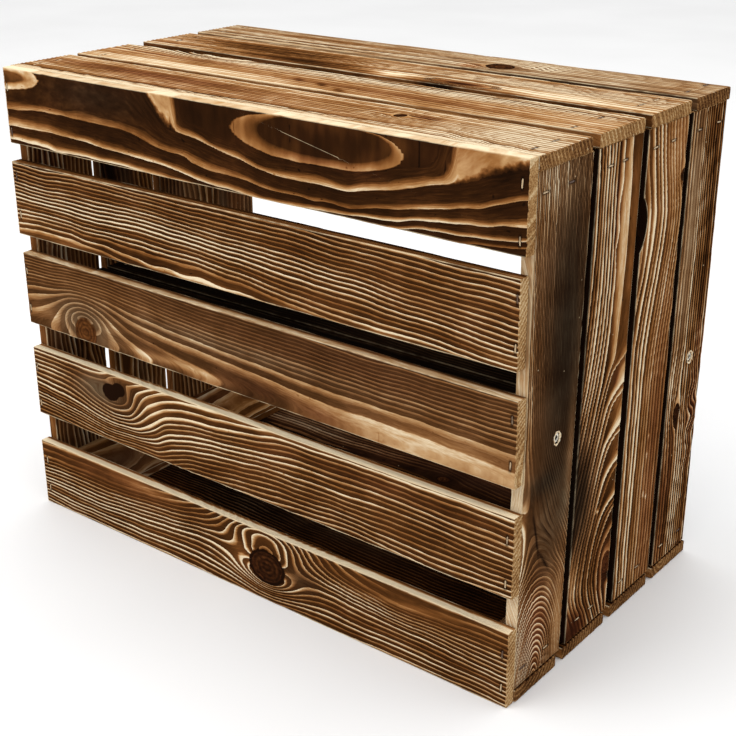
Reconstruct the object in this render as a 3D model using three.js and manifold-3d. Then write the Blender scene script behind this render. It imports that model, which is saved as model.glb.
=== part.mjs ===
// A browned softwood crate lying on one long side. Its slatted bottom faces the front, -Y, and its open
// mouth faces the back, +Y. Boards butt together at the corners, where four posts of three-cornered
// section take the staples. A shelf at half height rests on two cleats, each held by two screws.
// Millimetres, +Z up, origin on the floor under the middle of the crate.

import * as THREE from 'three';
import { mergeVertices } from 'three/addons/utils/BufferGeometryUtils.js';
import Module from 'manifold-3d';

const wasm = await Module();
wasm.setup();

// Overall size, over the boards
const crateLength = 500;
const crateDepth = 278;
const crateHeight = 395;

// Front slats, from the top down. The gaps share out the height that the slats leave.
const slatThickness = 10;
const slatWidths = [62, 63, 64, 63.5, 62.5];
const slatGapShares = [0.179, 0.2125, 0.269, 0.3395];
const slatLeftSetbacks = [3, 1.5, 3.5, 3.2, 0.6];
const slatRightSetbacks = [0.9, 3.9, 1.8, 0.6, 1.3];
const slatTilts = [0, 1.2, -2.2, -0.8, 0];

// Top and bottom boards, from the front back. The boards share out the depth that their gaps leave, and
// a lean moves a board's left end back.
const sideThickness = 10;
const topGap = 9.5;
const topShares = [0.2656, 0.2543, 0.2501, 0.23];
const topLeans = [0, -3.5, 1.5, 0];
const bottomGap = 9.4;
const bottomShares = [0.2326, 0.2603, 0.2573, 0.2498];
const bottomLeans = [0, 0, 0, 0];
const bottomSetback = 1;

// End boards, from the front back, standing between the top and the bottom boards. A lean moves a
// board's foot back, and a taper narrows its foot from behind.
const endThickness = 10;
const endReveal = 1.5;
const endGap = 6.6;
const endShares = [0.2756, 0.2498, 0.2454, 0.2292];
const endTapers = [6, 0, 0, 0];
const leftLeans = [0, -1, 1, -bottomSetback];
const rightLeans = [0, -5, -1, -bottomSetback];

// Waney bite out of the front edge of the third right end board
const waneBoard = 2;
const waneHeight = 317;
const waneLength = 40;
const waneDepth = 8;
const waneSteps = 12;

// Corner posts: one leg of the section lies on the side boards and one on the end boards
const postSideLeg = 41;
const postEndLeg = 35;
const postSideTip = 6;
const postEndTip = 4;

// Shelf boards, from the front back, between the end boards, and the cleats under their ends
const shelfTop = 207.5;
const shelfThickness = 10;
const shelfInset = 6;
const shelfGap = 4;
const shelfShares = [0.25, 0.25, 0.25, 0.25];
const shelfClearance = 0.5;
const cleatHeight = 20;
const cleatWidth = 20;
const cleatSetback = 4;

// Sawn edges are eased by a small chamfer
const arris = 0.6;

// Staples: a crown of square wire with two pointed legs, driven just under the surface
const wire = 1.1;
const crownWidth = 7.6;
const legLength = 20;
const tipSlope = 1.2;
const sunk = 0.25;
const stapleClearance = 0.3;

// Where the staples stand: how far off each board's middle line, and how far in from a side board's end
const slatStapleOffsets = [15, 18.5, 16.5, 13, 12.5];
const sideStapleOffsets = [-16, -23.5, -6, -10];
const sideStapleInsets = [14, 24, 22, 17];
const endStapleOffsets = [-23.5, -14, -18.5, -15];

// An end board's staple passes this far below the points of those that come down through the top board
const staplePassing = 4.75;

// Countersunk screws through the end boards into the cleats
const screwLength = 25;
const screwHead = 7.4;
const screwRim = 0.5;
const screwCone = 2.2;
const screwShank = 3.4;
const screwPoint = 4;
const screwSunk = 1;
const screwClearance = 0.3;
const screwSides = 20;

// Which end boards take a screw, how far off their middle lines, and how far under the shelf's boards
const screwPlaces = [
  { where: 'front', board: 0, offset: 7, drop: 5 },
  { where: 'rear', board: 3, offset: 5, drop: 12 },
];

const right = new THREE.Vector3(1, 0, 0);
const back = new THREE.Vector3(0, 1, 0);
const up = new THREE.Vector3(0, 0, 1);
const forward = back.clone().negate();

const slatFace = -crateDepth / 2;
const slatBack = slatFace + slatThickness;
const mouth = crateDepth / 2;
const insideDepth = mouth - slatBack;
const endFace = crateLength / 2 - endReveal;
const endInner = endFace - endThickness;
const endMiddle = endFace - endThickness / 2;
const topUnderside = crateHeight - sideThickness;
const endHeight = topUnderside - sideThickness;
const stapleReach = sunk + legLength;
const endInset = stapleReach + staplePassing - sideThickness;
const shelfUnderside = shelfTop - shelfThickness;
const shelfFront = slatBack + shelfInset;

const finish = {
  slat: { color: 0x6b4526, roughness: 0.75, metalness: 0 },
  side: { color: 0xb08a5c, roughness: 0.7, metalness: 0 },
  end: { color: 0x5c3a20, roughness: 0.8, metalness: 0 },
  post: { color: 0xa08458, roughness: 0.85, metalness: 0 },
  shelf: { color: 0x3a2c22, roughness: 0.8, metalness: 0 },
  staple: { color: 0x8c8478, roughness: 0.45, metalness: 0.9 },
  screw: { color: 0x4a4844, roughness: 0.4, metalness: 0.9 },
};

// Lays a panel's boards side by side, from one depth back to another, and gives their middles and widths
function layBoards(front, rear, gap, shares) {
  const timber = rear - front - gap * (shares.length - 1);
  let edge = front;
  return shares.map((share) => {
    const width = timber * share;
    const middle = edge + width / 2;
    edge += width + gap;
    return { middle, width };
  });
}

function shapeFrom(points) {
  return new THREE.Shape(points.map(([x, y]) => new THREE.Vector2(x, y)));
}

function meshOf(name, geometry, look) {
  const mesh = new THREE.Mesh(geometry, new THREE.MeshStandardMaterial(look));
  mesh.name = name;
  return mesh;
}

// A board of the given outline, its lower face at local z = 0, with every sawn edge eased
function board(name, outline, thickness, look) {
  const geometry = new THREE.ExtrudeGeometry(outline, {
    depth: thickness - 2 * arris,
    bevelThickness: arris,
    bevelSize: arris,
    bevelOffset: -arris,
    bevelSegments: 1,
  });
  geometry.translate(0, 0, arris);
  return meshOf(name, geometry, look);
}

// A staple's outline, with its crown along x and the board's face at y = 0. Grown and lifted, it is the
// outline of the hole that the staple stands in.
function stapleSolid(grow, lift) {
  const outer = crownWidth / 2 + grow;
  const inner = crownWidth / 2 - wire - grow;
  const crown = lift - sunk;
  const under = -sunk - wire - grow;
  const point = -stapleReach - grow;
  const outline = shapeFrom([
    [-outer, crown],
    [-outer, point + tipSlope],
    [-inner, point],
    [-inner, under],
    [inner, under],
    [inner, point],
    [outer, point + tipSlope],
    [outer, crown],
  ]);
  const thickness = wire + 2 * grow;
  const geometry = new THREE.ExtrudeGeometry(outline, { depth: thickness, bevelEnabled: false });
  return geometry.translate(0, 0, -thickness / 2);
}

// A screw turned about y, with the board's face at y = 0, and likewise its hole
function screwSolid(grow, lift) {
  const head = screwHead / 2 + grow;
  const shank = screwShank / 2 + grow;
  const top = lift - screwSunk;
  const rim = -screwSunk - screwRim;
  const point = -screwSunk - screwLength - grow;
  const profile = [
    [0, point],
    [shank, point + screwPoint],
    [shank, rim - screwCone],
    [head, rim],
    [head, top],
    [0, top],
  ];
  return new THREE.LatheGeometry(profile.map(([x, y]) => new THREE.Vector2(x, y)), screwSides);
}

const stapleKind = {
  solid: stapleSolid(0, 0),
  hole: stapleSolid(stapleClearance, sunk + stapleClearance),
  look: finish.staple,
};
const screwKind = {
  solid: screwSolid(0, 0),
  hole: screwSolid(screwClearance, screwSunk + screwClearance),
  look: finish.screw,
};
const fasteners = [];

// Notes a fastener that enters the wood at a point, with its x axis along one direction
function addFastener(name, kind, point, outward, across) {
  const frame = new THREE.Matrix4().makeBasis(across, outward, across.clone().cross(outward));
  fasteners.push({ name, kind, frame: frame.setPosition(point) });
}

// The slats, each a little out of level and short of the crate's full length
function makeSlats() {
  const panel = new THREE.Group();
  const spare = crateHeight - slatWidths.reduce((sum, width) => sum + width, 0);
  let top = crateHeight;
  slatWidths.forEach((width, i) => {
    const half = width / 2;
    const middle = top - half;
    const tilt = slatTilts[i];
    const left = slatLeftSetbacks[i] - crateLength / 2;
    const rightEnd = crateLength / 2 - slatRightSetbacks[i];
    const outline = shapeFrom([
      [left, -half - tilt / 2],
      [rightEnd, -half + tilt / 2],
      [rightEnd, half + tilt / 2],
      [left, half - tilt / 2],
    ]);
    const slat = board(`front_slat_${i + 1}`, outline, slatThickness, finish.slat);
    slat.rotation.x = Math.PI / 2;
    slat.position.set(0, slatBack, middle);
    panel.add(slat);
    for (const [where, x] of [['left', -endMiddle], ['right', endMiddle]]) {
      const point = new THREE.Vector3(x, slatFace, middle + slatStapleOffsets[i]);
      addFastener(`staple_slat_${i + 1}_${where}`, stapleKind, point, forward, up);
    }
    top -= width + spare * (slatGapShares[i] ?? 0);
  });
  return panel;
}

// Boards side by side in a level panel, with their lower faces at the given height
function makeSidePanel(name, boards, leans, floor) {
  const panel = new THREE.Group();
  const half = crateLength / 2;
  boards.forEach(({ middle, width }, i) => {
    const outline = shapeFrom([
      [-half, leans[i] - width / 2],
      [half, -width / 2],
      [half, width / 2],
      [-half, leans[i] + width / 2],
    ]);
    const plank = board(`${name}_board_${i + 1}`, outline, sideThickness, finish.side);
    plank.position.set(0, middle, floor);
    panel.add(plank);
  });
  return panel;
}

function stapleTopBoards() {
  topBoards.forEach(({ middle }, i) => {
    const reach = crateLength / 2 - sideStapleInsets[i];
    for (const [where, x] of [['left', -reach], ['right', reach]]) {
      const y = middle + topLeans[i] * (0.5 - x / crateLength) + sideStapleOffsets[i];
      const point = new THREE.Vector3(x, y, crateHeight);
      addFastener(`staple_top_${i + 1}_${where}`, stapleKind, point, up, back);
    }
  });
}

// A bite with a circular edge, from one point of a board's front edge up to another
function waneCurve(x) {
  const radius = (waneLength ** 2 / 4 + waneDepth ** 2) / (2 * waneDepth);
  const span = Math.asin(waneLength / 2 / radius);
  const points = [];
  for (let step = 0; step <= waneSteps; step += 1) {
    const angle = span * (1 - (2 * step) / waneSteps);
    const depth = radius * Math.cos(angle) - (radius - waneDepth);
    points.push([x + depth, waneHeight - sideThickness + radius * Math.sin(angle)]);
  }
  return points;
}

// Upright boards with their outer faces on one side of the crate
function makeEndPanel(name, leans, side, waned) {
  const panel = new THREE.Group();
  endBoards.forEach(({ middle, width }, i) => {
    const half = width / 2;
    const outline = shapeFrom([
      [leans[i] - half, 0],
      [leans[i] + half - endTapers[i], 0],
      [half, endHeight],
      [-half, endHeight],
      ...(i === waned ? waneCurve(-half) : []),
    ]);
    const plank = board(`${name}_board_${i + 1}`, outline, endThickness, finish.end);
    plank.quaternion.setFromRotationMatrix(new THREE.Matrix4().makeBasis(back, up, right));
    plank.position.set(side > 0 ? endInner : -endFace, middle, sideThickness);
    panel.add(plank);
  });
  return panel;
}

function stapleRightBoards() {
  endBoards.forEach(({ middle }, i) => {
    const y = middle + rightLeans[i] * (endInset / endHeight) + endStapleOffsets[i];
    const point = new THREE.Vector3(endFace, y, topUnderside - endInset);
    addFastener(`staple_right_${i + 1}`, stapleKind, point, right, back);
  });
}

// A post of three-cornered section, laid from the slats to the mouth in one long inner corner
function makePost(name, side, rise, floor, length) {
  const section = shapeFrom([
    [0, 0],
    [-side * postSideLeg, 0],
    [-side * postSideLeg, rise * postSideTip],
    [-side * postEndTip, rise * postEndLeg],
    [0, rise * postEndLeg],
  ]);
  const geometry = new THREE.ExtrudeGeometry(section, { depth: length, bevelEnabled: false });
  const post = meshOf(name, geometry, finish.post);
  post.rotation.x = Math.PI / 2;
  post.position.set(side * endInner, slatBack + length, floor);
  return post;
}

function makePosts() {
  const posts = new THREE.Group();
  const bottomLength = insideDepth - bottomSetback;
  posts.add(makePost('post_top_left', -1, -1, topUnderside, insideDepth));
  posts.add(makePost('post_top_right', 1, -1, topUnderside, insideDepth));
  posts.add(makePost('post_bottom_left', -1, 1, sideThickness, bottomLength));
  posts.add(makePost('post_bottom_right', 1, 1, sideThickness, bottomLength));
  return posts;
}

// The shelf's boards, on a cleat at each end
function makeShelf() {
  const shelf = new THREE.Group();
  const reach = endInner - shelfClearance;
  layBoards(shelfFront, mouth, shelfGap, shelfShares).forEach(({ middle, width }, i) => {
    const outline = shapeFrom([
      [-reach, -width / 2],
      [reach, -width / 2],
      [reach, width / 2],
      [-reach, width / 2],
    ]);
    const plank = board(`shelf_board_${i + 1}`, outline, shelfThickness, finish.shelf);
    plank.position.set(0, middle, shelfUnderside);
    shelf.add(plank);
  });
  for (const [where, x] of [['left', -endInner], ['right', endInner - cleatWidth]]) {
    const outline = shapeFrom([
      [0, shelfFront + cleatSetback],
      [cleatWidth, shelfFront + cleatSetback],
      [cleatWidth, mouth - cleatSetback],
      [0, mouth - cleatSetback],
    ]);
    const cleat = board(`shelf_cleat_${where}`, outline, cleatHeight, finish.post);
    cleat.position.set(x, 0, shelfUnderside - cleatHeight);
    shelf.add(cleat);
  }
  return shelf;
}

function screwCleats() {
  for (const { where, board: index, offset, drop } of screwPlaces) {
    const y = endBoards[index].middle + offset;
    const z = shelfUnderside - drop;
    for (const [end, side] of [['left', -1], ['right', 1]]) {
      const point = new THREE.Vector3(side * endFace, y, z);
      const outward = right.clone().multiplyScalar(side);
      addFastener(`screw_${end}_${where}`, screwKind, point, outward, back);
    }
  }
}

function toManifold(geometry) {
  const bare = geometry.clone();
  bare.deleteAttribute('normal');
  bare.deleteAttribute('uv');
  const merged = mergeVertices(bare);
  return new wasm.Manifold(new wasm.Mesh({
    numProp: 3,
    vertProperties: merged.attributes.position.array,
    triVerts: Uint32Array.from(merged.index.array),
  }));
}

function fromManifold(solid) {
  const { vertProperties, triVerts } = solid.getMesh();
  const geometry = new THREE.BufferGeometry();
  geometry.setAttribute('position', new THREE.BufferAttribute(vertProperties, 3));
  geometry.setIndex(new THREE.BufferAttribute(triVerts, 1));
  geometry.computeVertexNormals();
  return geometry;
}

// Cuts the holes of every fastener that reaches a piece
function drill(piece) {
  piece.updateWorldMatrix(true, false);
  const reach = new THREE.Box3().setFromObject(piece);
  const toPiece = piece.matrixWorld.clone().invert();
  let solid = toManifold(piece.geometry);
  for (const { kind, frame } of fasteners) {
    const cutter = kind.hole.clone().applyMatrix4(frame);
    cutter.computeBoundingBox();
    if (cutter.boundingBox.intersectsBox(reach)) {
      solid = solid.subtract(toManifold(cutter.applyMatrix4(toPiece)));
    }
  }
  piece.geometry = fromManifold(solid);
}

function makeFasteners() {
  const group = new THREE.Group();
  for (const { name, kind, frame } of fasteners) {
    const fastener = meshOf(name, kind.solid, kind.look);
    fastener.applyMatrix4(frame);
    group.add(fastener);
  }
  return group;
}

const topBoards = layBoards(slatBack, mouth, topGap, topShares);
const bottomBoards = layBoards(slatBack, mouth - bottomSetback, bottomGap, bottomShares);
const endBoards = layBoards(slatBack, mouth, endGap, endShares);
const crate = new THREE.Group();
crate.add(
  makeSlats(),
  makeSidePanel('top', topBoards, topLeans, topUnderside),
  makeSidePanel('bottom', bottomBoards, bottomLeans, 0),
  makeEndPanel('left', leftLeans, -1, null),
  makeEndPanel('right', rightLeans, 1, waneBoard),
  makePosts(),
  makeShelf(),
);
stapleTopBoards();
stapleRightBoards();
screwCleats();
crate.traverse((piece) => {
  if (piece.isMesh) drill(piece);
});
crate.add(makeFasteners());

export default crate;
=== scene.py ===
"""A flamed and brushed softwood crate lying on its long side, its slatted bottom to the front.

Every board is a closed block of numpy grid surfaces with eased arrises. A growth-ring field, worked out
in three dimensions for each board, raises its ring lines in the mesh and colours them in the material,
so faces, edges and sawn ends show one and the same grain. Sizes are in millimetres until a mesh is made.
"""

import math
from collections import namedtuple
from dataclasses import dataclass

import bpy
import numpy as np
from mathutils import Matrix, Vector


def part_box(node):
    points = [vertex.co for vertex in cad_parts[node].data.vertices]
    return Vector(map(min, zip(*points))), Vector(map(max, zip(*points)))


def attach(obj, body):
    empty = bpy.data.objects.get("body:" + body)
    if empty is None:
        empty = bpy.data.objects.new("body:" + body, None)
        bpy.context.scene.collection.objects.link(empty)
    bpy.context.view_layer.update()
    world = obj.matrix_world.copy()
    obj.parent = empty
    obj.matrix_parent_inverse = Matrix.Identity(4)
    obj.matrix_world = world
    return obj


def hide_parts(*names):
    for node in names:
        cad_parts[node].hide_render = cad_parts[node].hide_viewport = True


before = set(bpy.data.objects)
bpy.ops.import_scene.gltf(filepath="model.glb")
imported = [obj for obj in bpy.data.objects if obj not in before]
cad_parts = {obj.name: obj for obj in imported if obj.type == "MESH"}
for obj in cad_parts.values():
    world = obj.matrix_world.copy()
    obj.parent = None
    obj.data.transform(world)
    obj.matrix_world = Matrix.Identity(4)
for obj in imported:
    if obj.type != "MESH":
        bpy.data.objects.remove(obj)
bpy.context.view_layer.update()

MM = 0.001
THICKNESS = 10.0
HALF_LENGTH = 250
MIDDLE_HEIGHT = 197.5

# ---------------------------------------------------------------------------------------------------
# The boards: which way each one runs, and how far its left end or foot leans away from its other end
# ---------------------------------------------------------------------------------------------------

Board = namedtuple("Board", "node along across out lean taper slot fine")

X, Y, Z = 0, 1, 2
SLAT_LEANS = (0, -1.2, 2.2, 0.8, 0)
TOP_LEANS = (0, -3.5, 1.5, 0)
LEFT_LEANS = (0, -1, 1, -1)
RIGHT_LEANS = (0, -5, -1, -1)
FOOT_TAPERS = (6, 0, 0, 0)
NONE = (0,) * 5


def panel(name, along, across, out, leans, tapers, slot, fine):
    """One side of the crate: boards side by side, numbered from the top down or from the front back."""
    return [
        Board(f"{name}_{i + 1}", along, across, out, lean, taper, slot, fine)
        for i, (lean, taper) in enumerate(zip(leans, tapers))
    ]


BOARDS = [
    *panel("front_slat", X, Z, (0, -1, 0), SLAT_LEANS, NONE, "slat_wood", True),
    *panel("top_board", X, Y, (0, 0, 1), TOP_LEANS, NONE, "side_wood", True),
    *panel("right_board", Z, Y, (1, 0, 0), RIGHT_LEANS, FOOT_TAPERS, "end_wood", True),
    *panel("left_board", Z, Y, (-1, 0, 0), LEFT_LEANS, FOOT_TAPERS, "end_wood", False),
    *panel("bottom_board", X, Y, (0, 0, -1), NONE[:4], NONE, "side_wood", False),
    *panel("shelf_board", X, Y, (0, 0, 1), NONE[:4], NONE, "shelf_wood", False),
]


def box_of(node):
    """A CAD node's lowest and highest corners in millimetres."""
    low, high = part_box(node)
    return np.array(low) / MM, np.array(high) / MM


# ---------------------------------------------------------------------------------------------------
# Grain. A board's own coordinates are u along it from the crate's middle, v across it from the board's
# middle line, and n out of its face, which is 0 at the outer face and negative inside the wood.
# ---------------------------------------------------------------------------------------------------


@dataclass
class Grain:
    """How one board's wood is drawn and coloured."""

    seed: int
    tone: float  # how light the wood is, from 0, char, to 1, bare
    contrast: float  # how far its ring lines stand out
    width: float = 0.5  # the share of a ring that its pale line takes
    red: float = 0.0
    ash: float = 0.0
    edges: tuple = (0.1, 0.1)  # how much lighter its low and its high narrow side are; below 0, partly char and partly painted shade in the gaps between boards
    rear: float = 0.0  # how much darker its high side is at the back: partly its burnt colour, partly painted shade deep in the gap above it
    inner: float = -0.12  # how much lighter its inner face is; below 0 it is painted shade inside the crate
    sawn: float = 0.6  # how light its sawn ends are
    waves: float = 0.5  # how far its lines wander
    pith: tuple = ()  # places along, across and below the board that the rings run round
    lines: tuple = ()  # how far from the pith the pale lines lie
    guides: tuple = ()  # ring numbers, each with the places along and across that its line runs through
    pitch: float = 4.0  # how thick a ring is between guides
    slant: float = 0.5  # how far the lines between guides move across for each step into the wood
    knots: tuple = ()
    eyes: tuple = ()
    loops: tuple = ()
    swells: tuple = ()
    ripples: tuple = ()
    patches: tuple = ()
    scratch: tuple = ()


Patch = namedtuple("Patch", "u v long wide tone contrast red ash tilt", defaults=(0,) * 5)
Knot = namedtuple("Knot", "u v radius stretch reach soot rim")
Eye = namedtuple("Eye", "u v long wide pitch tilt", defaults=(0,))
Loop = namedtuple("Loop", "u v long wide core_u core_v core_long core_wide start")
Swell = namedtuple("Swell", "u v long wide rings tilt", defaults=(0,))
Ripple = namedtuple("Ripple", "u v long wide height length tilt", defaults=(0,))

# Wavelengths and heights of the slow waves that make lines wander
WAVES = ((190, 0.9), (95, 0.55), (47, 0.3), (23, 0.12), (11, 0.05))
FAR = 9.0


def flowing(u, points, column=1):
    """A smooth line through a few points: a cubic between each two, whose slope at a point is the
    harmonic mean of the straight slopes before and after it, or level where those turn round."""
    x = np.array([p[0] for p in points], float)
    y = np.array([p[column] for p in points], float)
    rise = np.diff(y) / np.diff(x)
    turning = rise[1:] * rise[:-1] <= 0
    both = np.where(turning, 1, rise[1:] + rise[:-1])
    inner = np.where(turning, 0, 2 * rise[1:] * rise[:-1] / both)
    slope = np.concatenate([rise[:1], inner, rise[-1:]])
    i = np.clip(np.searchsorted(x, u) - 1, 0, len(x) - 2)
    step = x[i + 1] - x[i]
    f = np.clip((u - x[i]) / step, 0, 1)
    ends = y[i] * (1 + 2 * f) * (1 - f) ** 2 + y[i + 1] * f * f * (3 - 2 * f)
    return ends + step * f * (1 - f) * (slope[i] * (1 - f) - slope[i + 1] * f)


def smooth(value, low, high):
    """A smooth step from 0 at the low value to 1 at the high one."""
    f = np.clip((value - low) / (high - low), 0, 1)
    return f * f * (3 - 2 * f)


def waviness(u, v, seed):
    """A sum of slow sine waves that runs mostly along the board, in millimetres."""
    chance = np.random.default_rng(seed)
    total = np.zeros_like(u)
    for length, height in WAVES:
        for _ in range(2):
            turn = chance.uniform(0, 2 * math.pi)
            stretch = chance.uniform(0.8, 1.25)
            tilt = chance.uniform(-1, 1) / 7
            total += height * np.sin(2 * math.pi * u / (length * stretch) + tilt * v + turn)
    return total


def turned(u, v, spot):
    """A point's place along and across a spot on the board, whose long way is tilted by some degrees."""
    turn = math.radians(spot.tilt)
    along = (u - spot.u) * math.cos(turn) + (v - spot.v) * math.sin(turn)
    across = (v - spot.v) * math.cos(turn) - (u - spot.u) * math.sin(turn)
    return along, across


def hill(u, v, spot):
    """1 in the middle of a spot, falling off as a bell past its half length and half width."""
    along, across = turned(u, v, spot)
    return np.exp(-((along / spot.long) ** 2) - (across / spot.wide) ** 2)


def round_knots(u, v, knots):
    """Lines flow round a knot as water flows round a post: a point's distance from the knot's middle
    line shrinks by the share that the squared radius has in its squared distance from the knot."""
    for knot in knots:
        down = (u - knot.u) / (knot.stretch * knot.reach)
        side = v - knot.v
        share = knot.radius**2 / np.maximum(down**2 + side**2, knot.radius**2)
        v = knot.v + side * (1 - share)
    return v


def pith_rings(grain, u, v, n):
    """Ring number and reach round a pith that wanders across and below the board: the distance to it,
    looked up between the distances of the board's pale lines, and carried on past the first and last."""
    reach = np.hypot(v - flowing(u, grain.pith, 1), flowing(u, grain.pith, 2) + n)
    known = np.array(grain.lines, float)
    number = np.interp(reach, known, np.arange(len(known)))
    number += np.maximum(reach - known[-1], 0) / (known[-1] - known[-2])
    number -= np.maximum(known[0] - reach, 0) / (known[1] - known[0])
    return number, reach


def guided_rings(grain, u, v, n):
    """Ring number and reach between drawn lines, each at its own ring number, that slant into the wood."""
    slid = v + n * grain.slant
    tracks = [(ring, flowing(u, points)) for ring, points in grain.guides]
    number = np.zeros_like(u)
    last = len(tracks) - 2
    for i, ((ring, track), (next_ring, next_track)) in enumerate(zip(tracks, tracks[1:])):
        share = (slid - track) / (next_track - track)
        here = (share >= 0 if i else share > -np.inf) & (share < 1 if i < last else share < np.inf)
        number = np.where(here, ring + share * (next_ring - ring), number)
    return number, number * grain.pitch


def loop_number(u, v, loop):
    """The ring number inside a loop, one closed line round a darker core: it rises by half from the
    core's middle to its rim, by half from there to the loop's own rim, and is endless outside."""
    outer = np.hypot((u - loop.u) / loop.long, (v - loop.v) / loop.wide)
    inner = np.hypot((u - loop.core_u) / loop.core_long, (v - loop.core_v) / loop.core_wide)
    between = np.clip(inner - 1, 0, None) / np.maximum(inner - outer, 1e-6)
    inside = loop.start + np.where(inner < 1, 0.5 * inner, 0.5 + 0.5 * between)
    return np.where(outer < 1, np.minimum(inside, loop.start + 0.999), np.inf)


def ring_field(grain, u, v, n):
    """The growth-ring number at each point, and a measure in millimetres that runs with it. Knots,
    waves and ripples bend the lines, swells take rings away in a bell, and loops and eyes have rings of
    their own inside their rims."""
    bent = round_knots(u, v, grain.knots) + grain.waves * waviness(u, v, grain.seed)
    for ripple in grain.ripples:
        along, _ = turned(u, v, ripple)
        bent = bent + ripple.height * hill(u, v, ripple) * np.sin(2 * math.pi * along / ripple.length)
    number, reach = (pith_rings if grain.pith else guided_rings)(grain, u, bent, n)
    for swell in grain.swells:
        number = number - swell.rings * hill(u, v, swell)
    for loop in grain.loops:
        inside = loop_number(u, bent, loop)
        number = np.where(inside < np.inf, inside, number)
    for eye in grain.eyes:
        along, across = turned(u, v, eye)
        far = np.hypot(along * eye.wide / eye.long, across) + 0.6 * waviness(u, v, grain.seed + 50)
        inside = smooth(far, 1.12 * eye.wide, 0.88 * eye.wide)
        number = number + inside * (far / eye.pitch + 40 - number)
        reach = reach + inside * (far - reach)
    return number, reach


def knot_fields(grain, u, v):
    """Each point's distance from the nearest knot as a share of that knot's radius, and how sooty that
    knot is and how black its rim is."""
    nearest = np.full_like(u, 3.0)
    soot = np.zeros_like(u)
    rim = np.zeros_like(u)
    for knot in grain.knots:
        far = np.hypot((u - knot.u) / knot.stretch, v - knot.v) / knot.radius
        closer = far < nearest
        nearest = np.where(closer, far, nearest)
        soot = np.where(closer, knot.soot, soot)
        rim = np.where(closer, knot.rim, rim)
    return nearest, soot, rim


def scratch_distance(ends, u, v):
    """How far each point lies to the left or right of a straight scratch; past its ends, the distance
    from the nearer end is added. Without a scratch it is far everywhere."""
    if not ends:
        return np.full_like(u, FAR)
    start, stop = np.array(ends, float)
    length = np.linalg.norm(stop - start)
    way = (stop - start) / length
    along = (u - start[0]) * way[0] + (v - start[1]) * way[1]
    side = (v - start[1]) * way[0] - (u - start[0]) * way[1]
    past = np.abs(along - np.clip(along, 0, length))
    return side + np.where(side < 0, -past, past)


def grain_at(grain, u, v, n):
    """All that the material reads, at each point of a board."""
    ring, flow = ring_field(grain, u, v, n)
    knot, soot, rim = knot_fields(grain, u, v)
    found = {"ring": ring, "flow": flow * MM, "knot": knot, "soot": soot, "rim": rim, "along": u * MM}
    found["scratch"] = scratch_distance(grain.scratch, u, v)
    found["width"] = np.full_like(u, grain.width)
    for look in ("tone", "contrast", "red", "ash"):
        total = np.full_like(u, getattr(grain, look))
        for patch in grain.patches:
            total = total + getattr(patch, look) * hill(u, v, patch)
        found[look] = total
    return found


# ---------------------------------------------------------------------------------------------------
# Grain of the slats, the top boards and the right end boards, read off the photograph board by board
# ---------------------------------------------------------------------------------------------------

GRAINS = {}

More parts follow.
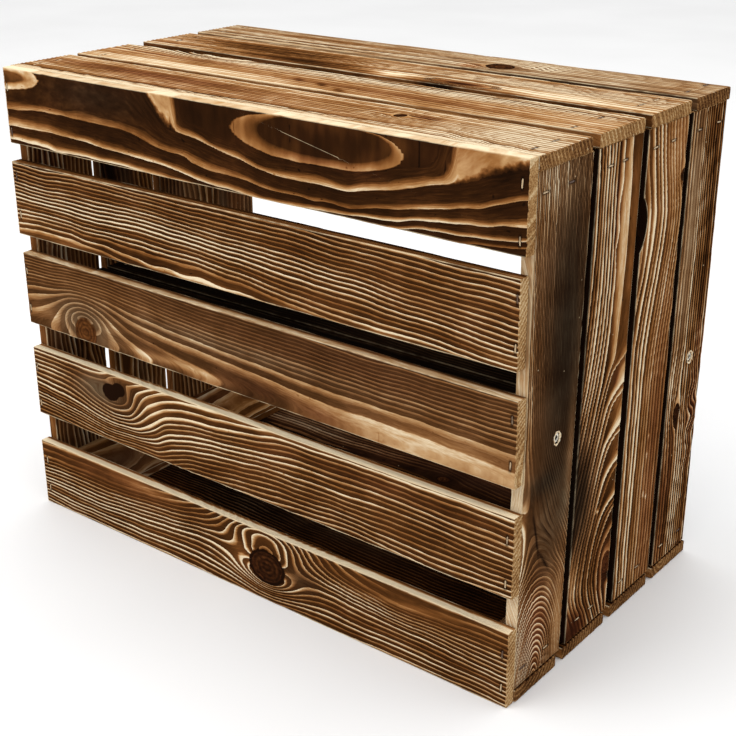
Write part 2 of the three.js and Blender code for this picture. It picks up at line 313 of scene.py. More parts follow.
# First slat: nearly black bands that dip round a long closed loop right of the middle
GRAINS["front_slat_1"] = Grain(
    seed=1, tone=0.27, contrast=0.84, waves=0.6, edges=(0.15, 0.66), sawn=0.7,
    scratch=((50, 20), (102, 9)),
    pitch=9,
    guides=(
        (7, ((-250, -52), (250, -52))),
        (5, ((-250, -42), (0, -44), (150, -36), (200, -31.5), (215, -28.5), (240, -25.5), (250, -24))),
        (4.5, ((-250, -36), (0, -41), (150, -33), (200, -28.7), (215, -26.5), (250, -22.5))),
        (4, ((-250, -28), (-200, -28.5), (-190, -29.5), (-170, -28), (-150, -28), (-125, -28.5),
            (-110, -29.5), (-90, -31), (-50, -33), (0, -37), (80, -37), (130, -32.5), (150, -30.5),
            (170, -28.2), (200, -26.2), (220, -24), (250, -20))),
        (3.5, ((-250, -23.5), (-200, -24), (-190, -26), (-175, -24.5), (-130, -25), (-100, -27),
            (-70, -28.5), (-50, -30), (0, -34), (80, -34.5), (130, -30.7), (150, -28.8), (170, -26.2),
            (200, -23.8), (220, -21.6), (250, -18))),
        (3, ((-250, -17.5), (-200, -16.5), (-170, -15.5), (-140, -17), (-100, -20), (-60, -23),
            (-40, -27), (-25, -29), (0, -29.5), (50, -30.5), (80, -30), (100, -29.5), (120, -28),
            (150, -25.5), (160, -23.5), (180, -21.5), (200, -18.5), (220, -16), (235, -12.5),
            (250, -12))),
        (2.5, ((-250, -10), (-200, -11), (-170, -12), (-140, -13), (-100, -16), (-60, -19.5), (-40, -23),
            (-25, -25.5), (0, -26), (50, -27.5), (80, -27), (100, -27), (120, -25.5), (150, -22.5),
            (180, -18.5), (200, -15.5), (220, -13), (235, -9), (250, -7))),
        (2, ((-250, -3.5), (-230, -3), (-210, -0.5), (-190, -1), (-175, 0), (-150, -0.8), (-120, -0.5),
            (-100, -2), (-90, -4), (-75, -8.5), (-60, -10.5), (-45, -12), (-35, -17), (-20, -19.5),
            (20, -20), (50, -22), (65, -22), (80, -24), (90, -23), (110, -24), (120, -22.5), (130, -20),
            (150, -17), (180, -13), (200, -8), (215, -5), (225, -1), (240, 4), (250, 6))),
        (1.5, ((-250, 5), (-200, 5.5), (-180, 5), (-160, 7.5), (-130, 6.5), (-100, 5), (-85, 3),
            (-75, -1), (-60, -4), (-40, -7), (-25, -11), (-10, -13), (20, -16), (50, -19), (80, -20),
            (100, -20), (120, -18.5), (130, -16), (160, -11), (180, -8), (200, -3), (215, 0), (225, 4),
            (240, 9), (250, 11))),
        (1, ((-250, 90), (-105, 70), (-86, 36), (-78, 25), (-72, 18), (-66, 12), (-62, 9), (-50, 6),
            (-30, 2), (0, -4), (30, -9), (60, -12), (105, -12.5), (125, -9), (150, -4), (180, 3),
            (200, 8), (210, 12), (220, 17), (235, 22), (250, 26))),
        (0.5, ((-250, 120), (-58, 100), (-52, 34), (-50.5, 14), (-47, 11), (-35, 8), (-25, 5), (-15, 1.5),
            (0, 0), (10, -1), (20, -4), (40, -7), (60, -7), (80, -6), (105, -8), (125, -3.5), (140, -1),
            (150, 3), (175, 7.5), (185, 10), (190, 16), (193, 24), (197, 60), (250, 110))),
        (0.15, ((-250, 130), (-60, 110), (-46, 36), (-44, 20), (-38, 15), (-15, 9), (0, 7), (20, 3),
            (60, 0), (105, -1), (125, 4), (150, 10), (175, 15), (182, 22), (190, 70), (250, 120))),
        (0.01, ((-250, 160), (250, 160))),
    ),
    loops=(Loop(79, 17, 77, 17, 88, 20, 56, 13, -1), Loop(-252, 25, 50, 12, -250, 24, 28, 4.5, 0)),
    patches=(
        Patch(-185, -26, 110, 4, tone=0.16), Patch(-140, 20, 50, 12, tone=-0.05, ash=0.3),
        Patch(-62, 22, 14, 9, tone=0.1), Patch(205, 20, 22, 12, tone=0.05, contrast=-0.15),
        Patch(-215, -12, 50, 5, tone=0.08, contrast=-0.25), Patch(-234, 27, 20, 8, tone=0.34),
        Patch(-64, 26, 12, 12, tone=-0.14), Patch(222, 26, 30, 12, tone=-0.16),
        Patch(210, -14, 60, 8, tone=0.05), Patch(150, 24, 12, 8, tone=0.1),
        Patch(85, 4, 40, 3, tone=-0.08, red=0.4),
    ),
)

# Second slat: close, even lines, with pale patches along the lower edge
GRAINS["front_slat_2"] = Grain(
    seed=2, tone=0.345, contrast=0.8, width=0.46, slant=0.9, edges=(0, 0.2), rear=0.3, sawn=0.7,
    pitch=3.9,
    guides=(
        (-1, ((-250, -35), (-180, -33), (0, -42), (250, -50))),
        (0, ((-250, -26), (-180, -24), (-130, -28), (-60, -35), (0, -37), (250, -43))),
        (2, ((-250, -17), (-165, -15), (-100, -17), (-50, -19), (0, -21), (100, -29), (250, -34))),
        (8, ((-250, 4.5), (-100, 4), (0, 2), (100, -4), (200, -9), (250, -12))),
        (17, ((-250, 33), (0, 31), (250, 25))),
    ),
    ripples=(Ripple(-60, -26, 60, 7, 1.0, 40), Ripple(-170, -20, 50, 8, 0.8, 46)),
    patches=(
        Patch(-32, -29.5, 36, 3.5, tone=0.35), Patch(142, -30.5, 28, 3.5, tone=0.35),
        Patch(240, -26, 20, 8, tone=0.2), Patch(-240, -18, 30, 14, tone=0.12),
        Patch(-190, -29, 40, 4, tone=0.2), Patch(60, -30, 30, 3, tone=0.2),
        Patch(150, 12, 120, 16, tone=-0.04, contrast=-0.2),
        Patch(-75, 3, 170, 8, tone=0.08, contrast=0.32),
        Patch(-60, 26, 220, 7, tone=-0.06, contrast=-0.15), Patch(60, -20, 90, 7, contrast=-0.2),
    ),
)

# Third slat: rings round a pith near the lower edge, and a greyish knot at the left
GRAINS["front_slat_3"] = Grain(
    seed=3, tone=0.37, contrast=0.52, ash=0.14, waves=0.45, edges=(0.1, 0.52), rear=0.5, sawn=0.68,
    pith=(
        (-250, -28, 17), (-210, -28, 12), (-173, -28, 4), (-100, -28, 12), (-60, -28, 17),
        (-5, -28, 20.5), (75, -28, 24.5), (250, -28, 27),
    ),
    lines=(7, 13, 20, 28.3, 34.3, 37.8, 41, 44, 46.8, 49.6, 52.3, 55, 57.6, 60.2, 62.8, 65.4),
    knots=(Knot(-173, -23, 13, 1.0, 1.5, 0.35, 0.1),),
    swells=(Swell(-173, -8, 30, 17, 2.4),),
    patches=(
        Patch(190, -20, 80, 12, tone=0.32, contrast=-0.25), Patch(-70, -24, 60, 4, tone=0.34),
        Patch(-173, -16, 34, 18, tone=0.12, ash=0.5, contrast=-0.1), Patch(-225, -16, 26, 9, tone=0.22),
        Patch(-142, -13, 14, 7, tone=0.2), Patch(20, -22, 40, 8, tone=-0.1, red=0.4, contrast=-0.3),
        Patch(80, -26, 20, 6, tone=-0.05, red=0.5), Patch(100, 20, 120, 14, tone=-0.1, red=0.2),
        Patch(-100, 26, 120, 9, tone=-0.06), Patch(-150, 12, 60, 14, tone=0.06),
        Patch(0, 4, 120, 7, tone=0.05, ash=0.25), Patch(0, 22, 300, 15, contrast=-0.25),
    ),
)

# Fourth slat: lines that sweep down to the left, past two sooty knots that run together
GRAINS["front_slat_4"] = Grain(
    seed=4, tone=0.375, contrast=0.8, width=0.46, slant=0.7, edges=(0.1, 0.85), rear=0.8, sawn=0.68,
    pitch=4.7,
    guides=(
        (-2.7, ((-250, -31), (-145, -35), (-100, -36), (-50, -24), (0, -19), (100, -14), (250, -15))),
        (0, ((-250, -21), (-200, -23), (-145, -27), (-100, -27), (-75, -20), (-50, -13), (0, -8),
            (50, -3), (100, -3), (190, -2), (250, -4))),
        (6.5, ((-250, -2), (-200, -5), (-145, -11), (-120, -9), (-100, -2), (-80, 8), (-60, 12),
            (-30, 15), (0, 19), (50, 26), (100, 28), (250, 27))),
        (10, ((-250, 14), (-200, 12), (-170, 6), (-145, 2), (-130, 4), (-115, 14), (-100, 24), (-80, 32),
            (-40, 38), (250, 46))),
        (15, ((-250, 33), (-170, 30), (-100, 50), (250, 66))),
    ),
    knots=(Knot(-148, 15, 7.5, 1.3, 1.8, 1.5, 0.1), Knot(-138, 19.5, 6, 1.2, 1.8, 1.5, 0.1)),
    patches=(
        Patch(-162, 13, 36, 13, tone=0.02, contrast=-0.6, ash=0.6), Patch(-235, 20, 30, 14, tone=0.1),
        Patch(-60, -6, 70, 12, tone=0.06, contrast=0.2), Patch(60, -22, 160, 9, tone=-0.04),
        Patch(150, 18, 120, 8, tone=-0.06, contrast=-0.3, red=0.2),
        Patch(-130, -24, 50, 9, contrast=-0.15), Patch(0, 30, 220, 3, tone=0.22),
        Patch(-98, 16, 14, 14, tone=0.14),
    ),
)

# Fifth slat: lines that part round one large knot right of the middle, plain bands above them
GRAINS["front_slat_5"] = Grain(
    seed=5, tone=0.365, contrast=0.82, width=0.44, slant=0.6, waves=0.45, edges=(0.1, 0.85), rear=0.8,
    sawn=0.68,
    pitch=3.7,
    guides=(
        (-0.4, ((-250, -33), (0, -34), (250, -33))),
        (7.6, ((-250, -8), (-160, -5), (-100, 0), (-50, 4), (22, 4), (90, 2), (250, -4))),
        (13.6, ((-250, 13), (-160, 17), (-100, 20), (-50, 24), (22, 24), (90, 20), (150, 16), (250, 20))),
        (16.6, ((-250, 33), (0, 38), (250, 34))),
    ),
    knots=(Knot(22.7, -0.2, 14.5, 1.25, 1.1, 0.84, 1.0),),
    swells=(Swell(22, 31, 55, 16, 7), Swell(22, -9, 33, 13, -3.5)),
    patches=(
        Patch(-165, 22, 95, 11, tone=-0.06, contrast=-0.72, red=0.2),
        Patch(-115, 25, 34, 4, tone=0.25, contrast=-0.3),
        Patch(168, 23, 84, 11, tone=-0.03, contrast=-0.75), Patch(165, 19, 70, 3, tone=0.18, tilt=8),
        Patch(170, -10, 100, 12, tone=-0.04, contrast=-0.1),
        Patch(-16, -7, 18, 11, tone=0.16, contrast=0.2),
        Patch(-150, -14, 110, 14, tone=0.05, contrast=0.1),
        Patch(25, -24, 40, 8, contrast=-0.2, tone=-0.05),
        Patch(60, 2, 18, 9, tone=-0.04, contrast=-0.4, ash=0.3),
        Patch(22, 24, 40, 7, tone=0.05, contrast=0.15), Patch(-6, 8, 12, 7, tone=0.14),
    ),
)

# First top board: reddish middle, a small knot at the right and a pale front edge
GRAINS["top_board_1"] = Grain(
    seed=11, tone=0.58, contrast=0.52, waves=0.4, edges=(0.3, -0.3), sawn=0.42,
    pitch=4.0,
    guides=(
        (0, ((-250, -33), (0, -32), (160, -30), (250, -36))),
        (4, ((-250, -24), (-100, -22), (50, -20), (120, -17), (160, -15), (200, -21), (250, -25))),
        (10, ((-250, 2), (0, 4), (110, 3), (160, 4), (250, 0))),
        (17, ((-250, 34), (0, 34), (250, 30))),
    ),
    knots=(Knot(116, 7, 4.5, 1.0, 1.6, 0.9, 0.3),),
    ripples=(Ripple(205, -22, 40, 9, 1.3, 26),),
    patches=(
        Patch(-130, 7, 130, 9, tone=-0.28, red=0.7, contrast=-0.1),
        Patch(0, -30, 500, 5, tone=0.5, contrast=-0.3),
        Patch(-20, -21, 220, 4, tone=-0.22, contrast=0.5), Patch(215, 2, 55, 30, tone=0.22, ash=0.4),
        Patch(134, 11, 12, 5, tone=-0.3, red=0.6), Patch(-60, -10, 160, 7, tone=-0.08, red=0.4),
        Patch(-225, 20, 40, 14, tone=0.1), Patch(0, 24, 200, 8, tone=0.04),
        Patch(180, -25, 45, 6, contrast=0.5, tone=-0.05),
        Patch(-60, -23, 190, 3, tone=-0.12, contrast=0.2),
    ),
)

# Second top board: strong lines at the back, smooth and pale in front, three slanting scorches
GRAINS["top_board_2"] = Grain(
    seed=12, tone=0.59, contrast=0.38, width=0.55, waves=0.35, edges=(-0.2, -0.3), sawn=0.66,
    pitch=4.6,
    guides=(
        (0, ((-250, -36), (0, -34), (250, -40))),
        (6, ((-250, -5), (-150, -6), (-50, -3), (100, -7), (250, -12))),
        (8, ((-250, 12), (-200, 10), (-150, 4), (-110, 4), (-80, 8), (0, 8), (100, 5), (250, -1))),
        (12, ((-250, 36), (-200, 29), (-165, 20), (-130, 17), (-100, 21), (-80, 25), (0, 25), (100, 22),
            (250, 14))),
        (14, ((-250, 52), (-200, 44), (-165, 30), (-130, 25), (-100, 30), (-80, 36), (0, 35), (100, 32),
            (250, 24))),
    ),
    patches=(
        Patch(60, 21, 230, 11, tone=-0.08, contrast=0.95, ash=0.3),
        Patch(-155, 25, 70, 10, contrast=1.05, tone=-0.1),
        Patch(-140, -22, 90, 10, tone=0.36, contrast=-0.1), Patch(-150, 4, 90, 7, tone=-0.14, red=0.4),
        Patch(0, -31, 500, 4, tone=0.2), Patch(70, -12, 110, 10, tone=-0.12, red=0.3),
        Patch(-22, -10, 8, 3.5, tone=-0.3, red=0.4, tilt=-35), Patch(5, -15, 7, 3, tone=-0.4, tilt=-35),
        Patch(28, -23, 8, 3, tone=-0.3, tilt=-35), Patch(-94, 30, 10, 4, tone=-0.8),
        Patch(-180, 31, 14, 4, tone=-0.6), Patch(60, 31, 160, 2.5, tone=-0.4),
        Patch(210, -10, 50, 20, tone=0.1),
    ),
)

# Third top board: a dark left half, and a long flat eye with a pale tip at its left
GRAINS["top_board_3"] = Grain(
    seed=13, tone=0.53, contrast=0.64, width=0.55, waves=0.35, edges=(-0.2, -0.3), sawn=0.56,
    pitch=4.6,
    guides=(
        (0, ((-250, -42), (-50, -40), (100, -38), (250, -42))),
        (3, ((-250, -27), (-100, -24), (-40, -20), (0, -15), (60, -11), (120, -13), (250, -19))),
        (5, ((-250, -16), (-100, -14), (-30, -8), (40, -2), (100, -3), (250, -9))),
        (10, ((-250, 8), (-100, 7), (0, 12), (100, 14), (250, 9))),
        (15, ((-250, 30), (0, 33), (250, 30))),
    ),
    eyes=(Eye(86, -18, 34, 7.5, 7.5),),
    patches=(
        Patch(-120, 5, 90, 14, tone=-0.46, contrast=0.1),
        Patch(-70, -20, 66, 12, tone=-0.42, contrast=-0.3),
        Patch(22, -18, 17, 9, tone=0.5, contrast=-0.3), Patch(86, -18, 26, 6, tone=-0.34, red=0.7),
        Patch(180, -9, 90, 4, tone=0.35, contrast=-0.3),
        Patch(190, -20, 70, 7, tone=0.35, contrast=-0.2), Patch(-60, -31, 60, 2.5, tone=0.5),
        Patch(-150, 14, 90, 2, tone=-0.2), Patch(150, 6, 130, 14, contrast=0.35, tone=-0.05, ash=0.2),
        Patch(70, -30, 14, 3, tone=-0.5), Patch(-225, -14, 26, 18, tone=0.06, red=0.4),
        Patch(120, -33, 120, 2, tone=-0.5),
    ),
)

# Fourth top board: greyish, with one black knot and ripples beside it
GRAINS["top_board_4"] = Grain(
    seed=14, tone=0.6, contrast=0.5, ash=0.36, waves=0.35, edges=(-0.2, 0.1), sawn=0.3,
    pitch=4.6,
    guides=(
        (0, ((-250, -34), (0, -32), (250, -34))),
        (5, ((-250, -11), (-100, -10), (0, -8), (40, -6), (100, -9), (250, -9))),
        (9, ((-250, 7), (-100, 8), (0, 9), (50, 15), (100, 13), (250, 10))),
        (15, ((-250, 34), (250, 34))),
    ),
    knots=(Knot(70, -8, 10.5, 1.1, 1.4, 0.75, 0.8),),
    ripples=(Ripple(104, 5, 16, 9, 1.8, 9),),
    patches=(
        Patch(-120, -14, 110, 8, tone=-0.18, contrast=0.7, ash=-0.2),
        Patch(-120, 7, 110, 5, tone=-0.26, ash=-0.4),
        Patch(48, -18, 11, 7, tone=-0.08, red=0.8, ash=-0.5), Patch(-120, -28, 150, 3.5, tone=0.36),
        Patch(-120, -22, 120, 2, tone=-0.5), Patch(60, 12, 34, 10, tone=0.08),
        Patch(150, -25, 110, 3, tone=-0.3), Patch(25, 2, 20, 3, tone=-0.35),
        Patch(104, 4, 14, 8, contrast=0.5),
    ),
)

# First right end board: charred above, with the arches of a pith that comes near at the foot
GRAINS["right_board_1"] = Grain(
    seed=21, tone=0.31, contrast=0.6, ash=0.16, edges=(0.42, -0.36),
    pith=(
        (-190, -9.2, 3), (-150, -8.2, 19), (-120, -8.2, 32), (-95, -9.2, 43), (-60, -21.1, 48),
        (0, -55.1, 40), (60, -73.2, 24), (190, -81.2, 12),
    ),
    lines=(0, 1.9),
    patches=(
        Patch(-148, -12.2, 40, 17, tone=0.12, contrast=0.4, red=0.9, ash=-0.3),
        Patch(-155, 21.9, 46, 9, tone=0.42, contrast=-0.4),
        Patch(-120, 6.8, 16, 6, tone=0.2, contrast=-0.1),
        Patch(-20, 25.9, 44, 5, tone=0.25, contrast=-0.2), Patch(-170, -30.1, 40, 6, tone=0.2),
        Patch(-74, 0.9, 36, 16, tone=0.1, contrast=-0.6, ash=0.3),
        Patch(-20, -3.1, 50, 34, contrast=-0.55), Patch(-98, -1.1, 13, 1.1, tone=-0.35, tilt=-36),
        Patch(-72, -14.2, 18, 1.1, tone=-0.35, tilt=-14), Patch(-34, -9.2, 9, 20, tone=-0.1, ash=0.4),
        Patch(-60, 21.9, 20, 8, tone=0.05, ash=0.4),
        Patch(66, 12, 110, 25, tone=-0.2, contrast=-0.5, ash=0.5),
        Patch(40, -31.1, 150, 5, tone=0.16, contrast=0.25), Patch(-70, -32.1, 50, 6, tone=0.25),
        Patch(176, -9.2, 26, 26, tone=0.2, contrast=0.4),
    ),
)

# Second right end board: steep lines above, which sweep over into wide arches below
GRAINS["right_board_2"] = Grain(
    seed=22, tone=0.31, contrast=1.1, width=0.58, waves=0.35, edges=(-0.52, -0.36),
    pitch=4.6,
    guides=(
        (5, ((-190, -80), (-90, -70), (-46, -58), (0, -40), (21, -33), (67, -26), (110, -23.5),
            (190, -25))),
        (10, ((-190, -60), (-90, -46), (-46, -30), (-25, -22.7), (0, -15.6), (21, -9.9), (67, -3.4),
            (110, -2), (190, -4))),
        (11, ((-190, -53), (-90, -39), (-46, -24.5), (-25, -17), (0, -9.5), (21, -4), (45, 0), (67, 2),
            (90, 3.5), (110, 1.5), (125, 4.5), (140, 2.5), (160, 6), (190, 4))),
        (12, ((-190, -46), (-90, -33), (-46, -19), (-25, -11.5), (0, -4), (10, 0), (21, 6), (30, 12),
            (45, 14), (100, 17), (190, 16))),
        (13, ((-190, -22), (-172, -30), (-148, -38), (-90, -27), (-46, -13), (-25, -6), (0, 1), (8, 4),
            (18, 10), (28, 30), (40, 44), (190, 60))),
        (15, ((-190, -12), (-172, -20), (-160, -26), (-148, -29), (-120, -25), (-90, -15.5), (-46, -2),
            (-25, 5), (-18, 8), (-8, 14), (0, 34), (10, 70), (190, 90))),
        (17, ((-190, -3), (-172, -10), (-160, -17.5), (-148, -20), (-120, -16), (-90, -6), (-60, 3),
            (-46, 9), (-38, 16), (-32, 34), (-20, 80), (190, 110))),
        (19, ((-190, 6), (-172, -2), (-160, -8), (-148, -10), (-120, -6), (-99, 1), (-80, 10), (-68, 18),
            (-60, 34), (-50, 90), (190, 130))),
        (22, ((-190, 15), (-165, 7), (-148, 3), (-130, 6), (-112, 14), (-100, 22), (-92, 40), (-80, 110),
            (190, 150))),
        (26, ((-190, 30), (-165, 30), (-150, 40), (-130, 44), (-115, 60), (-100, 130), (190, 170))),
    ),
    knots=(Knot(-143, 21, 7, 1.4, 1.5, 0.6, 0.2),),
    patches=(
        Patch(-66, -28, 50, 20, tone=-0.22, contrast=-0.7, ash=0.5),
        Patch(-120, -10, 50, 28, tone=-0.05, contrast=-0.3),
        Patch(115, 9.5, 84, 6, tone=0.55, contrast=-0.95),
        Patch(110, 25, 90, 8, tone=0.22, contrast=-0.85),
        Patch(-10, 22, 40, 12, tone=0.28, contrast=-0.3),
        Patch(-70, 24, 30, 10, tone=0.1, contrast=-0.2),
        Patch(-180, -24, 15, 18, tone=-0.16, red=0.9, contrast=-1.0, tilt=30),
        Patch(-150, 18.2, 36, 9, red=0.5), Patch(-135, -34, 20, 8, tone=0.35, contrast=-0.5),
        Patch(60, -34.8, 140, 4, tone=-0.3, contrast=-0.4), Patch(12, 16, 10, 6, tone=-0.15, red=0.4),
        Patch(-90, 1, 1.8, 1.5, tone=0.9), Patch(140, -1, 50, 3, tone=-0.06, red=0.5),
    ),
)

# Third right end board: lines that bend round the bite, reddish and plain behind
GRAINS["right_board_3"] = Grain(
    seed=23, tone=0.42, contrast=0.62, width=0.55, waves=0.35, edges=(-0.7, -0.36),
    pitch=3.6,
    guides=(
        (0, ((-190, -32), (0, -33), (30, -33), (60, -28), (80, -22), (100, -18), (117, -17.5), (137, -20),
            (160, -26), (190, -30))),
        (1, ((-190, -26), (-24, -26), (21, -26.5), (40, -23), (60, -19), (80, -14), (100, -10), (117, -9),
            (140, -12.5), (165, -18), (190, -22))),
        (5, ((-190, -6), (-24, -5), (21, -2), (60, 5), (80, 9), (100, 12), (117, 13), (140, 10), (165, 4),
            (190, 0))),
        (12, ((-190, 26), (0, 30), (60, 36), (117, 42), (190, 34))),
    ),
    knots=(Knot(144, 29, 4, 1.2, 1.4, 0.9, 0.2),),
    patches=(
        Patch(-60, -18, 260, 12, contrast=0.5, tone=-0.02),
        Patch(-80, 16, 130, 13, tone=-0.08, red=0.5, contrast=-0.1),
        Patch(160, 14, 34, 18, tone=0.2, red=0.2, contrast=-0.3), Patch(117, -19, 30, 8, tone=0.24),
        Patch(100, 4, 60, 10, contrast=0.35), Patch(-60, 27, 100, 4, tone=-0.1),
        Patch(-58, 9.5, 1.8, 1.4, tone=0.6), Patch(-74, 9, 1.8, 1.6, tone=0.6),
        Patch(-108, 8, 1.8, 1.6, tone=0.6), Patch(-112, 13, 1.6, 1.4, tone=0.6),
        Patch(-128, 29, 1.6, 1.4, tone=0.6),
    ),
)

# Fourth right end board: dark, with a pale smooth front half above and a split knot
GRAINS["right_board_4"] = Grain(
    seed=24, tone=0.21, contrast=0.98, waves=0.4, edges=(-0.56, 0.1),
    pitch=4.2,
    guides=(
        (0, ((-190, -36.2), (190, -36.2))),
        (6, ((-190, -8.2), (-100, -7.2), (-40, -12.2), (20, -8.2), (190, -7.2))),
        (9, ((-190, 3.8), (-100, 4.8), (-50, 1.8), (0, 2.8), (190, 1.8))),
        (16, ((-190, 30.8), (190, 30.8))),
    ),
    knots=(Knot(-54.8, -9.8, 5, 1.5, 1.7, 1.0, 0.6),),
    swells=(Swell(-62, 23.8, 20, 9, 1.5),),
    ripples=(Ripple(-60, 17.8, 52, 9, 3.2, 33),),
    patches=(
        Patch(100, -15, 110, 11, tone=0.4, contrast=-0.75, ash=0.5),
        Patch(-135, -20.2, 58, 9, tone=-0.02, contrast=-0.5, red=0.4),
        Patch(100, 13.8, 100, 13, tone=-0.14, contrast=-0.05),
        Patch(-60, 18.8, 50, 9, tone=0.04, red=0.6, contrast=0.1),
        Patch(-140, 2.8, 55, 7, tone=0.06, contrast=0.4),
        Patch(0, -33.2, 200, 3, tone=-0.35, contrast=-0.3),
        Patch(-30, -21.2, 24, 7, tone=0.2, contrast=0.2), Patch(5, 19.8, 12, 9, tone=0.16, red=0.4),
        Patch(60, -6.2, 100, 4, contrast=0.3),
    ),
)


# How the boards and battens without a drawn grain look, by slot, and half such a board's width
PLAIN_LOOKS = {
    "end_wood": dict(tone=0.34, contrast=0.5, inner=0.02),
    # The bottom boards' inner faces are much darker: painted shade under the shelf
    "side_wood": dict(tone=0.5, contrast=0.4, inner=-0.38, sawn=0.32),
    # The shelf is near black: charred, and painted dark to stand for the deep shade inside the crate
    "shelf_wood": dict(tone=0.02, contrast=0.24, ash=0.5, inner=0.2, edges=(0.15, 0.15)),
    "post_wood": dict(tone=0.48, contrast=0.45),
}
PLAIN_HALF_WIDTH = 33


def plain_grain(seed, half, **looks):
    """Grain for a board whose face the photograph hides: a pith off to one side, drifting along it."""
    chance = np.random.default_rng(seed)
    side = chance.choice((-1, 1)) * chance.uniform(0.3, 1.6) * half
    depth = chance.uniform(6, 40)
    ring = chance.uniform(3.4, 5.2)
    pith = [
        (u, side + chance.uniform(-6, 6), depth * chance.uniform(0.75, 1.3))
        for u in np.linspace(-255, 255, 5)
    ]
    knot = Knot(
        chance.uniform(-200, 200), chance.uniform(-20, 20), chance.uniform(3, 8), stretch=1.2, reach=1.8,
        soot=0.8, rim=0.4,
    )
    patches = [
        Patch(
            chance.uniform(-220, 220), chance.uniform(-26, 26), chance.uniform(40, 120),
            chance.uniform(6, 16), tone=chance.uniform(-0.2, 0.16), contrast=chance.uniform(-0.3, 0.3),
            red=chance.uniform(0, 0.5), ash=chance.uniform(0, 0.4),
        )
        for _ in range(7)
    ]
    return Grain(seed=seed, waves=0.7, pith=pith, lines=np.arange(44) * ring, knots=[knot],
                 patches=patches, **looks)


def line_share(ring, width):
    """How far a point is up a pale line, from 0 in the dark band to 1 on the crest: the share of the
    line's width that is behind the point, to the power of 0.6, with a sharp drop after the crest."""
    part = ring % 1
    return np.clip((part - 1 + width) / (0.94 * width), 0, 1) ** 0.6 * np.clip((1 - part) / 0.06, 0, 1)


# ---------------------------------------------------------------------------------------------------
# Mesh making
# ---------------------------------------------------------------------------------------------------


def block_faces(cells, mirrored):
    """The lattice index of each surface point of a block of cells, and the quads of its six sides."""
    on = np.zeros([c + 1 for c in cells], bool)
    for axis in range(3):
        np.moveaxis(on, axis, 0)[[0, -1]] = True
    number = np.full(on.shape, -1)
    number[on] = np.arange(on.sum())
    quads = []
    for axis in range(3):
        for end in (0, -1):
            sheet = np.moveaxis(number, axis, 0)[end]
            corners = [sheet[:-1, :-1], sheet[1:, :-1], sheet[1:, 1:], sheet[:-1, 1:]]
            if ((end == 0) != (axis == 1)) != mirrored:
                corners.reverse()
            quads.append(np.stack(corners, -1).reshape(-1, 4))
    return np.argwhere(on), np.concatenate(quads)


def steps(length, fine, coarse, spots):
    """Places from 0 to length whose pitch is fine near some spots, each a place and a half width, and
    coarse elsewhere: equal shares of the summed density, which is one over the pitch."""
    scale = np.linspace(0, length, 4000)
    pitch = np.full_like(scale, coarse)
    for place, half in spots:
        near = smooth(np.abs(scale - place), 1.4 * half, half)
        pitch = np.minimum(pitch, coarse + (fine - coarse) * near)
    total = np.concatenate([[0], np.cumsum(0.5 / pitch[1:] + 0.5 / pitch[:-1])]) * (scale[1] - scale[0])
    count = max(2, math.ceil(total[-1]))
    return np.interp(np.linspace(0, total[-1], count + 1), total, scale)


def edge_steps(size, fine, coarse, reach):
    """Places across a side of a block, finer within reach of its two arrises."""
    return steps(size, fine, coarse, [(0, reach), (size, reach)])


def eased_block(lattice, size, radius, mirrored):
    """The surface of a block whose points lie at the lattice's places along its three sides, its edges
    rounded: each point's nearest place in a block smaller by the radius, plus the radius along the way
    out. Gives the points about the block's middle, the ways out and the quads."""
    index, quads = block_faces([len(places) - 1 for places in lattice], mirrored)
    half = np.array(size) / 2
    point = np.stack([places[index[:, axis]] for axis, places in enumerate(lattice)], 1) - half
    core = np.clip(point, radius - half, half - radius)
    out = point - core
    out /= np.linalg.norm(out, axis=1, keepdims=True)
    return core + radius * out, out, quads


def mesh_piece(name, points, quads, attributes):
    """A mesh object from points in millimetres, with its attributes on the points."""
    mesh = bpy.data.meshes.new(name)
    mesh.vertices.add(len(points))
    mesh.vertices.foreach_set("co", (points * MM).astype(np.float32).ravel())
    mesh.loops.add(quads.size)
    mesh.loops.foreach_set("vertex_index", quads.astype(np.int32).ravel())
    mesh.polygons.add(len(quads))
    mesh.polygons.foreach_set("loop_start", np.arange(0, quads.size, 4, dtype=np.int32))
    mesh.update(calc_edges=True)
    for label, values in attributes.items():
        kept = mesh.attributes.new(label, "FLOAT", "POINT")
        kept.data.foreach_set("value", values.astype(np.float32))
    mesh.shade_smooth()
    made = bpy.data.objects.new(name, mesh)
    bpy.context.scene.collection.objects.link(made)
    return made


def finish_piece(piece, material, slot, *nodes):
    """Gives a piece its material and its body, and hides the CAD nodes that it stands for; its slot is not
    used.
    """
    piece.data.materials.append(material)
    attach(piece, "root")
    if nodes:
        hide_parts(*nodes)


# ---------------------------------------------------------------------------------------------------
# Boards
# ---------------------------------------------------------------------------------------------------

# The waney bite out of the third right end board's front edge, a part of a circle
BITE_BOARD = "right_board_3"
BITE_MIDDLE = 119.5
BITE_LENGTH = 40
BITE_DEPTH = 8
BITE_ZONE = 22

# How far along a board its mesh is fine at a staple pair, a plain end and a screw, and across it at an
# arris
STAPLE_ZONE = 27
SAWN_ZONE = 4
SCREW_ZONE = 6
ARRIS_ZONE = 1.4

ARRIS = 1.1
RELIEF = 0.55
SAWN_RELIEF = 0.22
END_GRAIN_REACH = 2.5

# The dent that a staple is driven into: its depth, and half its length and its width
STAPLE_DENT = 0.5
STAPLE_DENT_LONG = 4.8
STAPLE_DENT_WIDE = 1.2

# The countersink of a screw: its depth, its radius, and half the width of its sloping edge
SCREW_DENT = 1.3
SCREW_HOLE = 4.0
SCREW_HOLE_EDGE = 0.5

# A side counts as one where the way out of an arris has turned this far towards it
SIDE_FROM = 0.6
SIDE_TO = 0.95
END_FROM = 0.5
END_TO = 0.9


def unit(axis):
    """The unit vector along one axis."""
    return np.eye(3)[axis]


